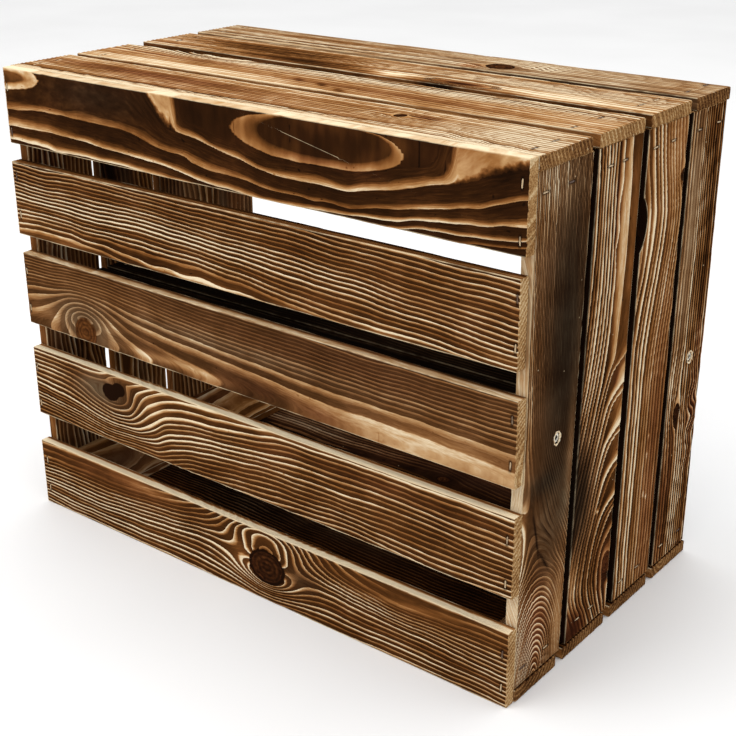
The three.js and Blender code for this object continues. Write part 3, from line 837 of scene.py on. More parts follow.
def edges_of(board):
    """A board's start and length along, and its low and high edges at its start and at its end."""
    low, high = box_of(board.node)
    before, after = max(board.lean, 0), max(-board.lean, 0)
    bottom, top = low[board.across], high[board.across]
    first = (bottom + before, top - after - board.taper)
    last = (bottom + after, top - before)
    return low[board.along], high[board.along] - low[board.along], first, last


def middle_of(board):
    """Where a board's own coordinates start from, along it and across it."""
    low, high = box_of(board.node)
    along = MIDDLE_HEIGHT if board.along == Z else 0.0
    across = (low[Z] + high[Z]) / 2 if board.across == Z else sum(edges_of(board)[3]) / 2
    return along, across


def face_of(board):
    """The axis that a board faces along, and the place of its outer face on it."""
    low, high = box_of(board.node)
    axis = int(np.argmax(np.abs(board.out)))
    return axis, high[axis] if sum(board.out) > 0 else low[axis]


def bite(u):
    """How deep the waney bite is at each place along its board: the height of a circle's arc that has the
    bite's length as its chord and the bite's depth as its rise."""
    half = BITE_LENGTH / 2
    radius = (half**2 + BITE_DEPTH**2) / (2 * BITE_DEPTH)
    reach = np.clip(radius**2 - (u - BITE_MIDDLE) ** 2, (radius - BITE_DEPTH) ** 2, None)
    return np.sqrt(reach) - (radius - BITE_DEPTH)


def board_lattice(board, size, to_start, screws):
    """Places along, across and into a board, close together where staples, screws, the bite and the
    arrises need them. A board on a side that the photograph shows has a finer lattice."""
    length, width, thickness = size
    zone = STAPLE_ZONE if board.fine else SAWN_ZONE
    spots = [(0, zone), (length, zone)] + [(u + to_start, SCREW_ZONE) for u, _ in screws]
    if board.node == BITE_BOARD:
        spots.append((BITE_MIDDLE + to_start, BITE_ZONE))
    return (
        steps(length, 0.8, 2.6 if board.fine else 4.2, spots),
        edge_steps(width, 0.4, 0.8 if board.fine else 1.2, ARRIS_ZONE),
        edge_steps(thickness, 0.4, 1.6, ARRIS),
    )


def board_look(grain, u, v, depth, out, from_end):
    """What the material reads on a board, with its narrow sides, inner face and sawn ends told apart."""
    look = grain_at(grain, u, v, depth)
    low_side = smooth(-out[:, 1], SIDE_FROM, SIDE_TO)
    high_side = smooth(out[:, 1], SIDE_FROM, SIDE_TO)
    # Narrow sides lighter or darker: the darker ones are partly char and partly painted shade in the gaps
    # between boards
    look["tone"] += grain.edges[0] * low_side + grain.edges[1] * high_side
    # The high side darkens towards the back: partly its burnt colour, partly painted shade deep in the gap
    # above it
    look["tone"] -= grain.rear * high_side * smooth(depth, -4.5, -8)
    # Inner faces: below 0, painted shade inside the crate
    look["tone"] += grain.inner * smooth(-out[:, 2], SIDE_FROM, SIDE_TO)
    look["contrast"] *= 1 - 0.75 * (low_side + high_side)
    look["end"] = np.clip(1 - from_end / END_GRAIN_REACH, 0, 1)
    look["sawn"] = np.full_like(u, grain.sawn)
    look["worn"] = 2 * np.abs(out[:, 1] * out[:, 2])
    return look


def staple_dents(u, v, staples):
    """1 in the dents under the staples, each a rounded box, and 0 elsewhere."""
    pressed = np.zeros_like(u)
    for staple_u, staple_v in staples:
        along = ((u - staple_u) / STAPLE_DENT_WIDE) ** 4
        across = ((v - staple_v) / STAPLE_DENT_LONG) ** 6
        pressed = np.maximum(pressed, np.exp(-along - across))
    return pressed


def screw_dents(u, v, screws):
    """1 in the round countersinks of the screws and 0 elsewhere."""
    pressed = np.zeros_like(u)
    for screw_u, screw_v in screws:
        far = np.hypot(u - screw_u, v - screw_v)
        hole = smooth(far, SCREW_HOLE + SCREW_HOLE_EDGE, SCREW_HOLE - SCREW_HOLE_EDGE)
        pressed = np.maximum(pressed, hole)
    return pressed


def brushed_relief(look, end_face):
    """How far the wood is brushed down: most in the dark bands between strong pale lines."""
    strength = np.clip(0.35 + look["contrast"], 0, 1)
    return RELIEF * strength * (1 - line_share(look["ring"], look["width"])) * (1 - end_face)


def sawn_relief(v, depth, end_face):
    """How rough a sawn end is: two crossed sine waves, each bent by another."""
    torn = np.sin(7.1 * v + 3 * np.sin(2.3 * depth)) * np.sin(4.7 * depth + 2 * np.sin(3.1 * v))
    return SAWN_RELIEF * end_face * (1 + torn)


def make_board(board, grain, staples, screws, material):
    """A board as a block with eased arrises. Its width runs between its two edges, and its surface sinks
    between the ring lines, under its staples and screws and at its sawn ends."""
    start, length, first, last = edges_of(board)
    middle_along, middle_across = middle_of(board)
    out_axis, face = face_of(board)
    size = (length, last[1] - last[0], THICKNESS)
    mirrored = np.dot(np.cross(unit(board.along), unit(board.across)), board.out) < 0
    lattice = board_lattice(board, size, middle_along - start, screws)
    point, out, quads = eased_block(lattice, size, ARRIS, mirrored)

    run = start + point[:, 0] + length / 2
    u = run - middle_along
    share = point[:, 0] / length + 0.5
    low_edge = first[0] + (last[0] - first[0]) * share
    high_edge = first[1] + (last[1] - first[1]) * share
    if board.node == BITE_BOARD:
        low_edge = low_edge + bite(u)
    side = low_edge + (high_edge - low_edge) * (point[:, 1] / size[1] + 0.5)
    v = side - middle_across
    depth = point[:, 2] - THICKNESS / 2

    look = board_look(grain, u, v, depth, out, length / 2 - np.abs(point[:, 0]))
    end_face = smooth(np.abs(out[:, 0]), END_FROM, END_TO)
    outside = out[:, 2] > 0.5
    under_staples = staple_dents(u, v, staples) * outside
    under_screws = screw_dents(u, v, screws) * outside
    # The dents under staples and screws, which the material darkens as char and painted shade
    look["dent"] = np.maximum(under_staples, under_screws)
    hollow = np.maximum(brushed_relief(look, end_face), STAPLE_DENT * under_staples)
    hollow = np.maximum(hollow, SCREW_DENT * under_screws) + sawn_relief(v, depth, end_face)

    place = np.outer(run, unit(board.along)) + np.outer(side, unit(board.across))
    place[:, out_axis] += face + depth * sum(board.out)
    place -= (out @ np.array([unit(board.along), unit(board.across), board.out])) * hollow[:, None]
    piece = mesh_piece(f"{board.node}_wood", place, quads, look)
    finish_piece(piece, material, board.slot, board.node)


# ---------------------------------------------------------------------------------------------------
# Corner posts and the shelf's cleats
# ---------------------------------------------------------------------------------------------------

# The two legs of a post's section, and how thick their tips are
SIDE_LEG = 41
END_LEG = 35
SIDE_TIP = 6
END_TIP = 4
CLEAT = 20

BATTEN_ARRIS = 0.7
BATTEN_ARRIS_ZONE = 1.0
BATTEN_RELIEF = 0.25


def make_batten(node, size, tips, side, rise, seed, material):
    """A length of batten along y: a block whose height, past the second tip, falls in a straight line to
    the first tip. Equal height and tip make it square."""
    low, high = box_of(node)
    length = high[Y] - low[Y]
    wide, tall = size
    lattice = (
        edge_steps(length, 0.8, 3.2, SAWN_ZONE),
        edge_steps(wide, 0.4, 1.2, BATTEN_ARRIS_ZONE),
        edge_steps(tall, 0.4, 1.6, BATTEN_ARRIS_ZONE),
    )
    mirrored = side * rise < 0
    point, out, quads = eased_block(lattice, (length, wide, tall), BATTEN_ARRIS, mirrored)
    run = point[:, 0]
    across = point[:, 1] + wide / 2
    slope = (tall - tips[0]) / (wide - tips[1])
    height = (point[:, 2] + tall / 2) * (1 - slope * np.maximum(across - tips[1], 0) / tall)

    grain = plain_grain(seed, wide / 2, **PLAIN_LOOKS["post_wood"])
    look = grain_at(grain, run, point[:, 1], height - tall)
    end_face = smooth(np.abs(out[:, 0]), END_FROM, END_TO)
    look["end"] = np.clip(1 - (length / 2 - np.abs(run)) / END_GRAIN_REACH, 0, 1)
    look["worn"] = 2 * np.abs(out[:, 1] * out[:, 2])
    look["dent"] = np.zeros_like(end_face)
    sunk = BATTEN_RELIEF * (1 - line_share(look["ring"], look["width"])) * (1 - end_face)

    corner = np.array([high[X] if side > 0 else low[X], low[Y], low[Z] if rise > 0 else high[Z]])
    way_x = -side * (across - out[:, 1] * sunk)
    way_y = run + length / 2 - out[:, 0] * sunk
    way_z = rise * (height - out[:, 2] * sunk)
    place = corner + np.stack([way_x, way_y, way_z], 1)
    finish_piece(mesh_piece(f"{node}_wood", place, quads, look), material, "post_wood", node)


# ---------------------------------------------------------------------------------------------------
# Staples
# ---------------------------------------------------------------------------------------------------

# A staple's wire, crown, bends and legs, how far it is sunk below the face, and its mesh
WIRE = 1.1
WIRE_ROUNDING = 0.54
CROWN = 7.6
BEND = 1.3
LEG = 20
LEG_TRIM = 1.0
SUNK = 0.25
WIRE_SIDES = 8
POINT_THICKNESS = 0.35

Staple = namedtuple("Staple", "name board u v node")

# Where the staples stand: how far off each board's middle line, and how far along it
SLAT_OFFSETS = ((15, -21), (18.5, -14.5), (16.5, -16.5), (13, -21), (12.5, -15.5))
SIDE_OFFSETS = ((-16, 8), (-23.5, 11.5), (-6, 18), (-10, 20))
SIDE_INSETS = (14, 24, 22, 17)
END_OFFSETS = ((-23.5, 7.5), (-14, 6), (-18.5, 8.5), (-15, 17))
SLAT_REACH = 243.5
SHELF_REACH = 228
SHELF_OFFSETS = (-16, 15)
HEAD_HEIGHT = 370
FOOT_HEIGHT = 24
IN_CAD = ("slat_left", "slat_right", "top_left", "top_right", "right_head")


def staple_spots(kind, i):
    """How far along a board its two pairs of staples stand, and how far off its middle line."""
    if kind == "slat":
        return ((-SLAT_REACH, "left"), (SLAT_REACH, "right")), SLAT_OFFSETS[i]
    if kind == "shelf":
        return ((-SHELF_REACH, "left"), (SHELF_REACH, "right")), SHELF_OFFSETS
    if kind in ("top", "bottom"):
        reach = HALF_LENGTH - SIDE_INSETS[i]
        return ((-reach, "left"), (reach, "right")), SIDE_OFFSETS[i]
    return ((HEAD_HEIGHT - MIDDLE_HEIGHT, "head"), (FOOT_HEIGHT - MIDDLE_HEIGHT, "foot")), END_OFFSETS[i]


def staple_places(board):
    """Where the staples of a board stand, in its own coordinates. The first at each place is the CAD
    model's, where it has one."""
    full_kind, number = board.node.rsplit("_", 1)
    kind = full_kind.replace("front_", "").replace("_board", "")
    spots, offsets = staple_spots(kind, int(number) - 1)
    start, length, _, _ = edges_of(board)
    places = []
    for u, end in spots:
        share = (u + middle_of(board)[0] - start) / length
        lean = 0.0 if board.across == Z else board.lean * (1 - share)
        for letter, offset in zip("ab", offsets):
            node = None
            if letter == "a" and f"{kind}_{end}" in IN_CAD:
                node = f"staple_{kind}_{number}" + ("" if end == "head" else f"_{end}")
            places.append(Staple(f"staple_{kind}_{number}_{end}_{letter}", board, u, lean + offset, node))
    return places


def on_board(board, local, u, v):
    """Sets points down on a board: their x runs across it, their y out of its face and their z along it.
    Says as well whether that mirrors them."""
    middle_along, middle_across = middle_of(board)
    out_axis, face = face_of(board)
    place = np.zeros_like(local)
    place[:, board.along] = u + middle_along + local[:, 2]
    place[:, board.across] = v + middle_across + local[:, 0]
    place[:, out_axis] = face + sum(board.out) * local[:, 1]
    mirrored = np.dot(np.cross(unit(board.across), board.out), unit(board.along)) < 0
    return place, mirrored


def tube_faces(rows, sides):
    """The quads of a tube of rings, row by row."""
    i, j = np.meshgrid(np.arange(rows - 1), np.arange(sides), indexing="ij")
    a = i * sides + j
    b = i * sides + (j + 1) % sides
    return np.stack([a, b, b + sides, a + sides], -1).reshape(-1, 4)


def closed_tube(rows, sides):
    """The quads of a tube whose first and last rings are closed by fans."""
    k = np.arange(1, sides - 1, 2)
    fan = np.stack([np.zeros_like(k), k + 2, k + 1, k], -1) % sides
    fan[:, 0] = 0
    return np.concatenate([tube_faces(rows, sides), fan, (rows - 1) * sides + fan[:, ::-1]])


def staple_form():
    """A staple's points, its crown along x and its legs down y: a rounded square carried along a leg,
    round a bend, over the crown and down again, and thinner at the two points."""
    arc = np.linspace(0, math.pi / 2, 5)
    half = CROWN / 2 - WIRE / 2
    left = np.stack([-(half - BEND) - BEND * np.cos(arc), -BEND + BEND * np.sin(arc)], 1)
    down = np.array([[-half, LEG_TRIM - LEG], [-half, -LEG / 2], [-half, -1.6 * BEND]])
    path = np.concatenate([down, left, [[0, 0]], (left * [-1, 1])[::-1], (down * [-1, 1])[::-1]])
    way = np.gradient(path, axis=0)
    way /= np.linalg.norm(way, axis=1, keepdims=True)
    turn = (np.arange(WIRE_SIDES) + 0.5) * 2 * math.pi / WIRE_SIDES
    square = np.stack([np.cos(turn), np.sin(turn)], 1) * WIRE * WIRE_ROUNDING
    thick = np.ones(len(path))
    thick[[0, -1]] = POINT_THICKNESS
    normal = np.stack([-way[:, 1], way[:, 0]], 1)
    ring = square[None] * thick[:, None, None]
    flat = path[:, None] + normal[:, None] * ring[..., :1]
    form = np.concatenate([flat, ring[..., 1:]], -1).reshape(-1, 3)
    form[:, 1] -= SUNK + WIRE / 2
    return form, closed_tube(len(path), WIRE_SIDES)


def make_staple(staple, chance, material):
    """A wire staple, a little twisted, lifted and tilted in its dent."""
    local, quads = staple_form()
    twist = chance.uniform(-0.09, 0.09)
    lift = chance.uniform(0.0, 0.2)
    tilt = chance.uniform(-0.02, 0.02)
    x = local[:, 0] * math.cos(twist) - local[:, 2] * math.sin(twist)
    z = local[:, 0] * math.sin(twist) + local[:, 2] * math.cos(twist)
    local = np.stack([x, local[:, 1] + lift + tilt * local[:, 0], z], 1)
    place, mirrored = on_board(staple.board, local, staple.u, staple.v)
    look = {"stain": np.full(len(place), chance.uniform(0, 1))}
    piece = mesh_piece(staple.name, place, quads[:, ::-1] if mirrored else quads, look)
    finish_piece(piece, material, "staple_wire", *([staple.node] if staple.node else []))


# ---------------------------------------------------------------------------------------------------
# Screws
# ---------------------------------------------------------------------------------------------------

# Which end boards take a screw, how far off their middle lines, and how far under the shelf's boards
SCREW_PLACES = (("front", 1, 7, 5), ("rear", 4, 5, 12))
SHELF_UNDERSIDE = 197.5

# Radius and height of a screw from its point up to its rim and in to its recess
SCREW_PROFILE = (
    (0.05, -25.9), (0.5, -25.0), (1.7, -22.0), (1.7, -4.6), (1.85, -4.0), (3.5, -2.2), (3.7, -1.8),
    (3.7, -1.4), (3.45, -1.15), (2.2, -1.0), (1.4, -1.05), (1.15, -2.0), (0.6, -2.5), (0.2, -2.6),
)
RECESS_ROW = 10
RECESS_LEAVES = 0.45

# The burr of torn wood round a screw's head: its section's radius and height, how far it is drawn out
# along the board, and the waves in its outer edge, each a count and a size
BURR_SECTION = (
    (3.6, -1.35), (3.65, -0.5), (3.9, 0.1), (4.3, 0.2), (4.7, -0.05), (4.9, -0.7), (4.0, -1.4)
)
BURR_STRETCH = 1.15
BURR_WAVES = ((3, 0.3), (7, 0.25), (17, 0.15))
ROUND_SIDES = 48


def screw_spots(board):
    """Where the screws of an end board stand, in its own coordinates."""
    kind, number = board.node.rsplit("_", 1)
    if kind not in ("left_board", "right_board"):
        return []
    return [
        (SHELF_UNDERSIDE - drop - MIDDLE_HEIGHT, offset, f"{kind.split('_')[0]}_{where}")
        for where, place, offset, drop in SCREW_PLACES
        if int(number) == place
    ]


def revolved(radius, height, turn, stretch=1.0):
    """Points of a turned form: a row of radii and heights for each ring, round an upright y."""
    return np.stack([radius * np.cos(turn), height, radius * stretch * np.sin(turn)], -1).reshape(-1, 3)


def make_screw(board, u, v, name, material):
    """A countersunk screw turned from a profile, its cross recess pressed into the head's middle as a
    four-leaved curve."""
    turn = np.arange(ROUND_SIDES) * 2 * math.pi / ROUND_SIDES
    rows = np.array(SCREW_PROFILE)
    in_recess = (np.arange(len(rows)) >= RECESS_ROW)[:, None]
    radius = rows[:, :1] * np.where(in_recess, 1 + RECESS_LEAVES * np.cos(4 * turn)[None], 1.0)
    height = np.broadcast_to(rows[:, 1:], radius.shape)
    place, mirrored = on_board(board, revolved(radius, height, turn), u, v)
    quads = closed_tube(len(rows), ROUND_SIDES)
    # The recess rows, which the steel's material paints dark as shade
    look = {"recess": np.broadcast_to(in_recess, radius.shape).astype(float).ravel()}
    piece = mesh_piece(f"screw_{name}_turned", place, quads if mirrored else quads[:, ::-1], look)
    finish_piece(piece, material, "screw_steel", f"screw_{name}")


def make_burr(board, u, v, name, material):
    """Torn fibres round a screw head: a closed ring whose outer edge and top wander."""
    turn = np.arange(ROUND_SIDES) * 2 * math.pi / ROUND_SIDES
    waves = zip(BURR_WAVES, (u, v, 0.0))
    wander = sum(size * np.sin(count * turn + start) for (count, size), start in waves)
    rings = np.array(BURR_SECTION)
    radius = rings[:, :1] + wander * smooth(rings[:, :1], 3.8, 4.6)
    height = rings[:, 1:] + 0.14 * np.sin(11 * turn + rings[:, :1] * 2) * (rings[:, 1:] > -0.5)
    place, mirrored = on_board(board, revolved(radius, height, turn, BURR_STRETCH), u, v)
    quads = tube_faces(len(rings) + 1, ROUND_SIDES) % (len(rings) * ROUND_SIDES)
    burr = mesh_piece(f"torn_fibres_{name}", place, quads[:, ::-1] if mirrored else quads, {})
    finish_piece(burr, material, "end_wood")


# ---------------------------------------------------------------------------------------------------
# Materials
# ---------------------------------------------------------------------------------------------------

# How many times brighter than its own colour a surface looks under the studio's lights
STUDIO_GAIN = 1.2


def srgb(red, green, blue):
    """A screen colour from 0 to 255 as the linear colour that looks like it under the studio's lights."""
    part = np.array([red, green, blue]) / 255
    linear = np.where(part <= 0.04045, part / 12.92, ((part + 0.055) / 1.055) ** 2.4)
    return (*[float(c) for c in linear / STUDIO_GAIN], 1.0)


class Finish:
    """A material in the making: each call adds one node and gives back its output."""

    def __init__(self, name):
        self.material = bpy.data.materials.new(name)
        self.material.use_nodes = True
        self.tree = self.material.node_tree
        self.shader = self.tree.nodes["Principled BSDF"]

    def add(self, kind, inputs=(), **settings):
        """A node with its settings, and its named or numbered inputs fed."""
        made = self.tree.nodes.new(kind)
        for key, value in settings.items():
            setattr(made, key, value)
        for key, value in dict(inputs).items():
            self.feed(made.inputs[key], value)
        return made

    def feed(self, socket, value):
        """Sets a socket to a constant, or joins it to another node's output."""
        if isinstance(value, bpy.types.NodeSocket):
            self.tree.links.new(value, socket)
        else:
            socket.default_value = value

    def attribute(self, name):
        """A value that the mesh holds at its points."""
        return self.add("ShaderNodeAttribute", attribute_name=name).outputs["Fac"]

    def object_place(self):
        """Object coordinates, in metres."""
        return self.add("ShaderNodeTexCoord").outputs["Object"]

    def math(self, operation, a, b=0.0, clamp=False):
        """One sum on one or two values."""
        return self.add("ShaderNodeMath", {0: a, 1: b}, operation=operation, use_clamp=clamp).outputs[0]

    def plus(self, first, *others):
        """The sum of all the values."""
        for other in others:
            first = self.math("ADD", first, other)
        return first

    def less(self, a, b):
        """The first value less the second."""
        return self.math("SUBTRACT", a, b)

    def times(self, first, *others):
        """The product of all the values."""
        for other in others:
            first = self.math("MULTIPLY", first, other)
        return first

    def within(self, a):
        """The value held between 0 and 1."""
        return self.math("ADD", a, 0.0, clamp=True)

    def slide(self, value, low, high, to_low=0.0, to_high=1.0):
        """A smooth step from one value to another as the first goes from low to high."""
        inputs = {"Value": value, "From Min": low, "From Max": high, "To Min": to_low, "To Max": to_high}
        return self.add("ShaderNodeMapRange", inputs, interpolation_type="SMOOTHSTEP").outputs[0]

    def vector(self, x, y):
        """A place on a plane made of two values."""
        return self.add("ShaderNodeCombineXYZ", {0: x, 1: y}).outputs[0]

    def noise(self, place, scale, detail=2.0, roughness=0.5):
        """Noise about 0, reaching some 0.35 to either side."""
        inputs = {"Vector": place, "Scale": scale, "Detail": detail, "Roughness": roughness}
        return self.less(self.add("ShaderNodeTexNoise", inputs).outputs[0], 0.5)

    def streaks(self, along, along_scale, across, across_scale, detail=1.0, roughness=0.5):
        """Noise that is stretched along the board's length."""
        place = self.vector(self.times(along, along_scale), self.times(across, across_scale))
        return self.noise(place, 1.0, detail, roughness)

    def chance(self, number):
        """A chance value for each whole number."""
        return self.add("ShaderNodeTexWhiteNoise", {"W": number}, noise_dimensions="1D").outputs["Value"]

    def spots(self, place, scale):
        """Distance to the nearest of many scattered points, and a chance value for each."""
        made = self.add("ShaderNodeTexVoronoi", {"Vector": place, "Scale": scale})
        return made.outputs["Distance"], made.outputs["Color"]

    def mix(self, share, a, b):
        """The share of the way from one colour to another."""
        inputs = {"Factor": share, "A": a, "B": b}
        return self.add("ShaderNodeMix", inputs, data_type="RGBA").outputs["Result"]

    def ramp(self, value, stops):
        """A colour looked up between stops, each a place and a screen colour."""
        made = self.add("ShaderNodeValToRGB", {0: value})
        scale = made.color_ramp.elements
        while len(scale) < len(stops):
            scale.new(0.5)
        for element, (place, *colour) in zip(scale, stops):
            element.position = place
            element.color = srgb(*colour)
        return made.outputs[0]

    def bump(self, height, distance, strength):
        """A surface direction roughened by a height."""
        inputs = {"Height": height, "Distance": distance, "Strength": strength}
        return self.add("ShaderNodeBump", inputs).outputs[0]

    def set(self, **values):
        """Feeds the shader's own inputs, named with _ for each space, and gives the material."""
        for key, value in values.items():
            self.feed(self.shader.inputs[key.replace("_", " ")], value)
        return self.material


# Flamed wood by how light it is, from char to bare wood, then the same where it is reddish or sooty,
# and the wood of a sawn end
BROWN_WOOD = (
    (0.0, 29, 16, 8), (0.15, 49, 27, 12), (0.32, 81, 48, 21), (0.5, 119, 73, 35), (0.66, 159, 108, 60),
    (0.82, 198, 154, 104), (1.0, 246, 226, 190),
)
RED_WOOD = (
    (0.0, 36, 18, 12), (0.15, 66, 33, 19), (0.32, 102, 56, 32), (0.5, 136, 82, 50), (0.66, 168, 114, 76),
    (0.82, 200, 156, 114), (1.0, 232, 202, 164),
)
SOOTY_WOOD = (
    (0.0, 25, 20, 15), (0.15, 46, 38, 28), (0.32, 76, 65, 49), (0.5, 110, 96, 74), (0.66, 146, 130, 104),
    (0.82, 182, 166, 138), (1.0, 214, 200, 172),
)
SAWN_WOOD = (
    (0.0, 56, 34, 18), (0.25, 106, 70, 40), (0.5, 152, 110, 66), (0.75, 192, 152, 102),
    (1.0, 226, 198, 154),
)
CREAM = srgb(228, 204, 164)
# Nearly black char, also the painted shade in the dents under staples and screws
CHAR_AND_SHADE = srgb(20, 12, 8)
SHEEN = 0.0


class Wood(Finish):
    """Flamed and brushed softwood: its fine noises, which its colour and its relief both read."""

    def __init__(self, name):
        super().__init__(name)
        self.place = self.object_place()
        self.along = self.attribute("along")
        flow = self.attribute("flow")
        self.wander = self.noise(self.place, 230.0, 3.0)
        self.cloud = self.noise(self.place, 24.0, 3.0, 0.55)
        self.grit = self.noise(self.place, 760.0, 2.0, 0.6)
        self.fibre = self.streaks(self.along, 55.0, flow, 1700.0, 3.0, 0.62)
        self.thread = self.streaks(self.along, 150.0, flow, 4200.0)
        self.ring = self.plus(self.attribute("ring"), self.times(self.wander, 0.05))
        self.part = self.math("FRACT", self.ring)
        self.fleck = self.streaks(self.along, 90.0, self.ring, 2.2, 2.0)

    def ring_line(self, luck):
        """How far up a pale line a point is: it rises slowly from where the line starts, which is
        sooner or later in each ring, and drops sharply at the ring's end."""
        width = self.times(self.attribute("width"), self.slide(luck, 0.0, 1.0, 0.85, 1.15))
        onset = self.less(1.0, width)
        behind = self.less(self.plus(self.part, self.times(self.fibre, 0.12)), onset)
        share = self.within(self.math("DIVIDE", behind, self.less(0.97, onset)))
        return self.times(self.math("POWER", share, 0.6), self.slide(self.part, 0.955, 0.998, 1.0, 0.0))

    def lightness(self, line, luck, count):
        """How light the wood is: its tone, its lines, which are brighter in some rings and places, fine
        fibres and clouds, less the dark dashes along the rings."""
        contrast = self.attribute("contrast")
        fade = self.streaks(self.along, 15.0, count, 7.3)
        bright = self.plus(0.5, self.times(luck, 0.5), self.times(fade, 0.7), self.times(self.fleck, 0.3))
        lines = self.plus(self.times(line, bright), self.times(self.part, 0.16), -0.2)
        fine = self.plus(self.times(self.fibre, 0.34), self.times(self.cloud, 0.3))
        fine = self.plus(fine, self.times(self.thread, 0.14))
        light = self.plus(self.attribute("tone"), self.times(contrast, lines), fine)
        dash = self.slide(self.streaks(self.along, 190.0, self.ring, 3.6), 0.2, 0.3)
        return self.less(light, self.times(dash, contrast, 0.3))

    def knotted(self, light):
        """The lightness with the knots in it, faintly ringed and with dark rims, and how far inside a
        knot each point is."""
        knot = self.plus(self.attribute("knot"), self.times(self.wander, 0.24))
        inside = self.slide(knot, 0.94, 1.06, 1.0, 0.0)
        circles = self.math("SINE", self.plus(self.times(knot, 22.0), self.times(self.cloud, 8.0)))
        heart = self.plus(0.44, self.times(self.attribute("soot"), -0.38), self.times(circles, 0.07))
        heart = self.plus(heart, self.times(self.wander, 0.5))
        light = self.plus(self.times(light, self.less(1.0, inside)), self.times(heart, inside))
        rim = self.times(self.slide(knot, 0.86, 0.96), self.slide(knot, 1.0, 1.1, 1.0, 0.0))
        return self.less(light, self.times(rim, self.attribute("rim"), 0.6)), inside

    def flamed(self, light, inside):
        """The colour that goes with a lightness, reddish or sooty where the board is."""
        reddish = self.plus(self.attribute("red"), self.times(self.cloud, 0.8), self.times(inside, 0.2))
        colour = self.mix(self.within(reddish), self.ramp(light, BROWN_WOOD), self.ramp(light, RED_WOOD))
        blown = self.plus(1.0, self.times(self.cloud, 1.5), self.times(self.fibre, 1.5))
        sooty = self.times(self.attribute("ash"), blown, self.less(1.0, inside))
        return self.mix(self.within(sooty), colour, self.ramp(light, SOOTY_WOOD))

    def marked(self, colour):
        """The colour with pale specks, the scratch and rubbed arrises over it, and its dents darkened
        nearly to char: partly char, partly painted shade.
        """
        away, cell = self.spots(self.place, 120.0)
        speck = self.times(self.slide(away, 0.03, 0.09, 1.0, 0.0), self.slide(cell, 0.78, 0.82))
        colour = self.mix(self.times(speck, 0.6), colour, CREAM)
        scratch = self.slide(self.math("ABSOLUTE", self.attribute("scratch")), 0.08, 0.3, 1.0, 0.0)
        broken = self.slide(self.fibre, -0.2, 0.1, 0.15, 0.6)
        colour = self.mix(self.times(scratch, broken), colour, CREAM)
        rubbed = self.slide(self.plus(self.cloud, self.fleck), -0.3, 0.2, 0.1, 0.95)
        rubbed = self.times(self.attribute("worn"), rubbed)
        shown = self.slide(self.attribute("tone"), 0.0, 0.3, 0.3, 1.0)
        colour = self.mix(self.times(rubbed, shown), colour, CREAM)
        # The dents are darkened nearly to char: partly char, partly painted shade in the hollow
        return self.mix(self.times(self.attribute("dent"), 0.92), colour, CHAR_AND_SHADE)

    def sawn_ends(self, colour, end):
        """The colour with the sawn ends' coarse bare wood laid over it."""
        fringe = self.plus(end, self.times(self.wander, 1.1), self.times(self.fleck, 0.8))
        late = self.times(self.slide(self.part, 0.45, 0.8), 0.26)
        rough = self.plus(self.times(self.grit, 1.1), self.times(self.cloud, 0.8))
        bare = self.plus(self.attribute("sawn"), late, -0.12, rough)
        return self.mix(self.slide(fringe, 0.62, 0.78), colour, self.ramp(bare, SAWN_WOOD))


def wood(name):
    """The finished material of one kind of board."""
    m = Wood(name)
    count = m.math("FLOOR", m.ring)
    luck = m.chance(count)
    line = m.ring_line(luck)
    light, inside = m.knotted(m.lightness(line, luck, count))
    end = m.attribute("end")
    colour = m.sawn_ends(m.marked(m.flamed(light, inside)), end)
    rough = m.plus(m.slide(line, 0.0, 1.0, 0.66, 0.5), m.times(m.fibre, 0.3), m.times(end, 0.25))
    height = m.plus(line, m.times(m.fibre, 0.9), m.times(m.thread, 0.5), m.times(m.grit, end, 2.4))
    relief = m.bump(height, distance=0.0006, strength=0.7)
    return m.set(Base_Color=colour, Roughness=rough, Normal=relief, Specular_IOR_Level=SHEEN)


def stained_wire():
    """Wire in dull tan to brown, each staple stained by the flame more or less."""
    m = Finish("stained_wire")
    place = m.object_place()
    scratch = m.noise(place, 900.0, 3.0, 0.6)
    stain = m.plus(m.attribute("stain"), m.times(m.noise(place, 260.0), 1.2))
    colour = m.mix(m.slide(stain, 0.3, 0.9), srgb(204, 176, 136), srgb(84, 56, 36))
    m.set(Base_Color=colour, Roughness=m.slide(scratch, -0.2, 0.2, 0.4, 0.6))
    return m.set(Normal=m.bump(scratch, distance=0.0001, strength=0.4), Metallic=0.2)


def pale_zinc():
    """A pale zinc-coated screw, its recess painted dark as shade."""
    m = Finish("pale_zinc")
    scratch = m.noise(m.object_place(), 700.0, 3.0, 0.6)
    colour = m.mix(m.slide(scratch, -0.15, 0.2), srgb(252, 248, 236), srgb(228, 218, 198))
    # The recess is painted nearly black as the shade in it
    colour = m.mix(m.attribute("recess"), colour, srgb(22, 15, 11))
    m.set(Base_Color=colour, Roughness=m.slide(scratch, -0.2, 0.2, 0.35, 0.6))
    return m.set(Normal=m.bump(scratch, distance=0.0002, strength=0.5), Metallic=0.1)


def torn_fibres():
    """Bare pale wood where a screw head has torn the flamed skin."""
    m = Finish("torn_fibres")
    fibre = m.noise(m.object_place(), 800.0, 3.0, 0.6)
    colour = m.mix(m.slide(fibre, -0.1, 0.2), srgb(244, 228, 196), srgb(200, 158, 110))
    m.set(Base_Color=colour, Normal=m.bump(fibre, distance=0.0004, strength=0.8))
    return m.set(Roughness=0.8, Specular_IOR_Level=SHEEN)


def floor_paper():
    """Plain pale paper."""
    m = Finish("floor_paper")
    tone = m.slide(m.noise(m.object_place(), 3.0), -0.3, 0.3)
    colour = m.mix(tone, (0.86, 0.86, 0.86, 1), (0.9, 0.9, 0.9, 1))
    return m.set(Base_Color=colour, Roughness=0.9)


# ---------------------------------------------------------------------------------------------------
# Studio
# ---------------------------------------------------------------------------------------------------

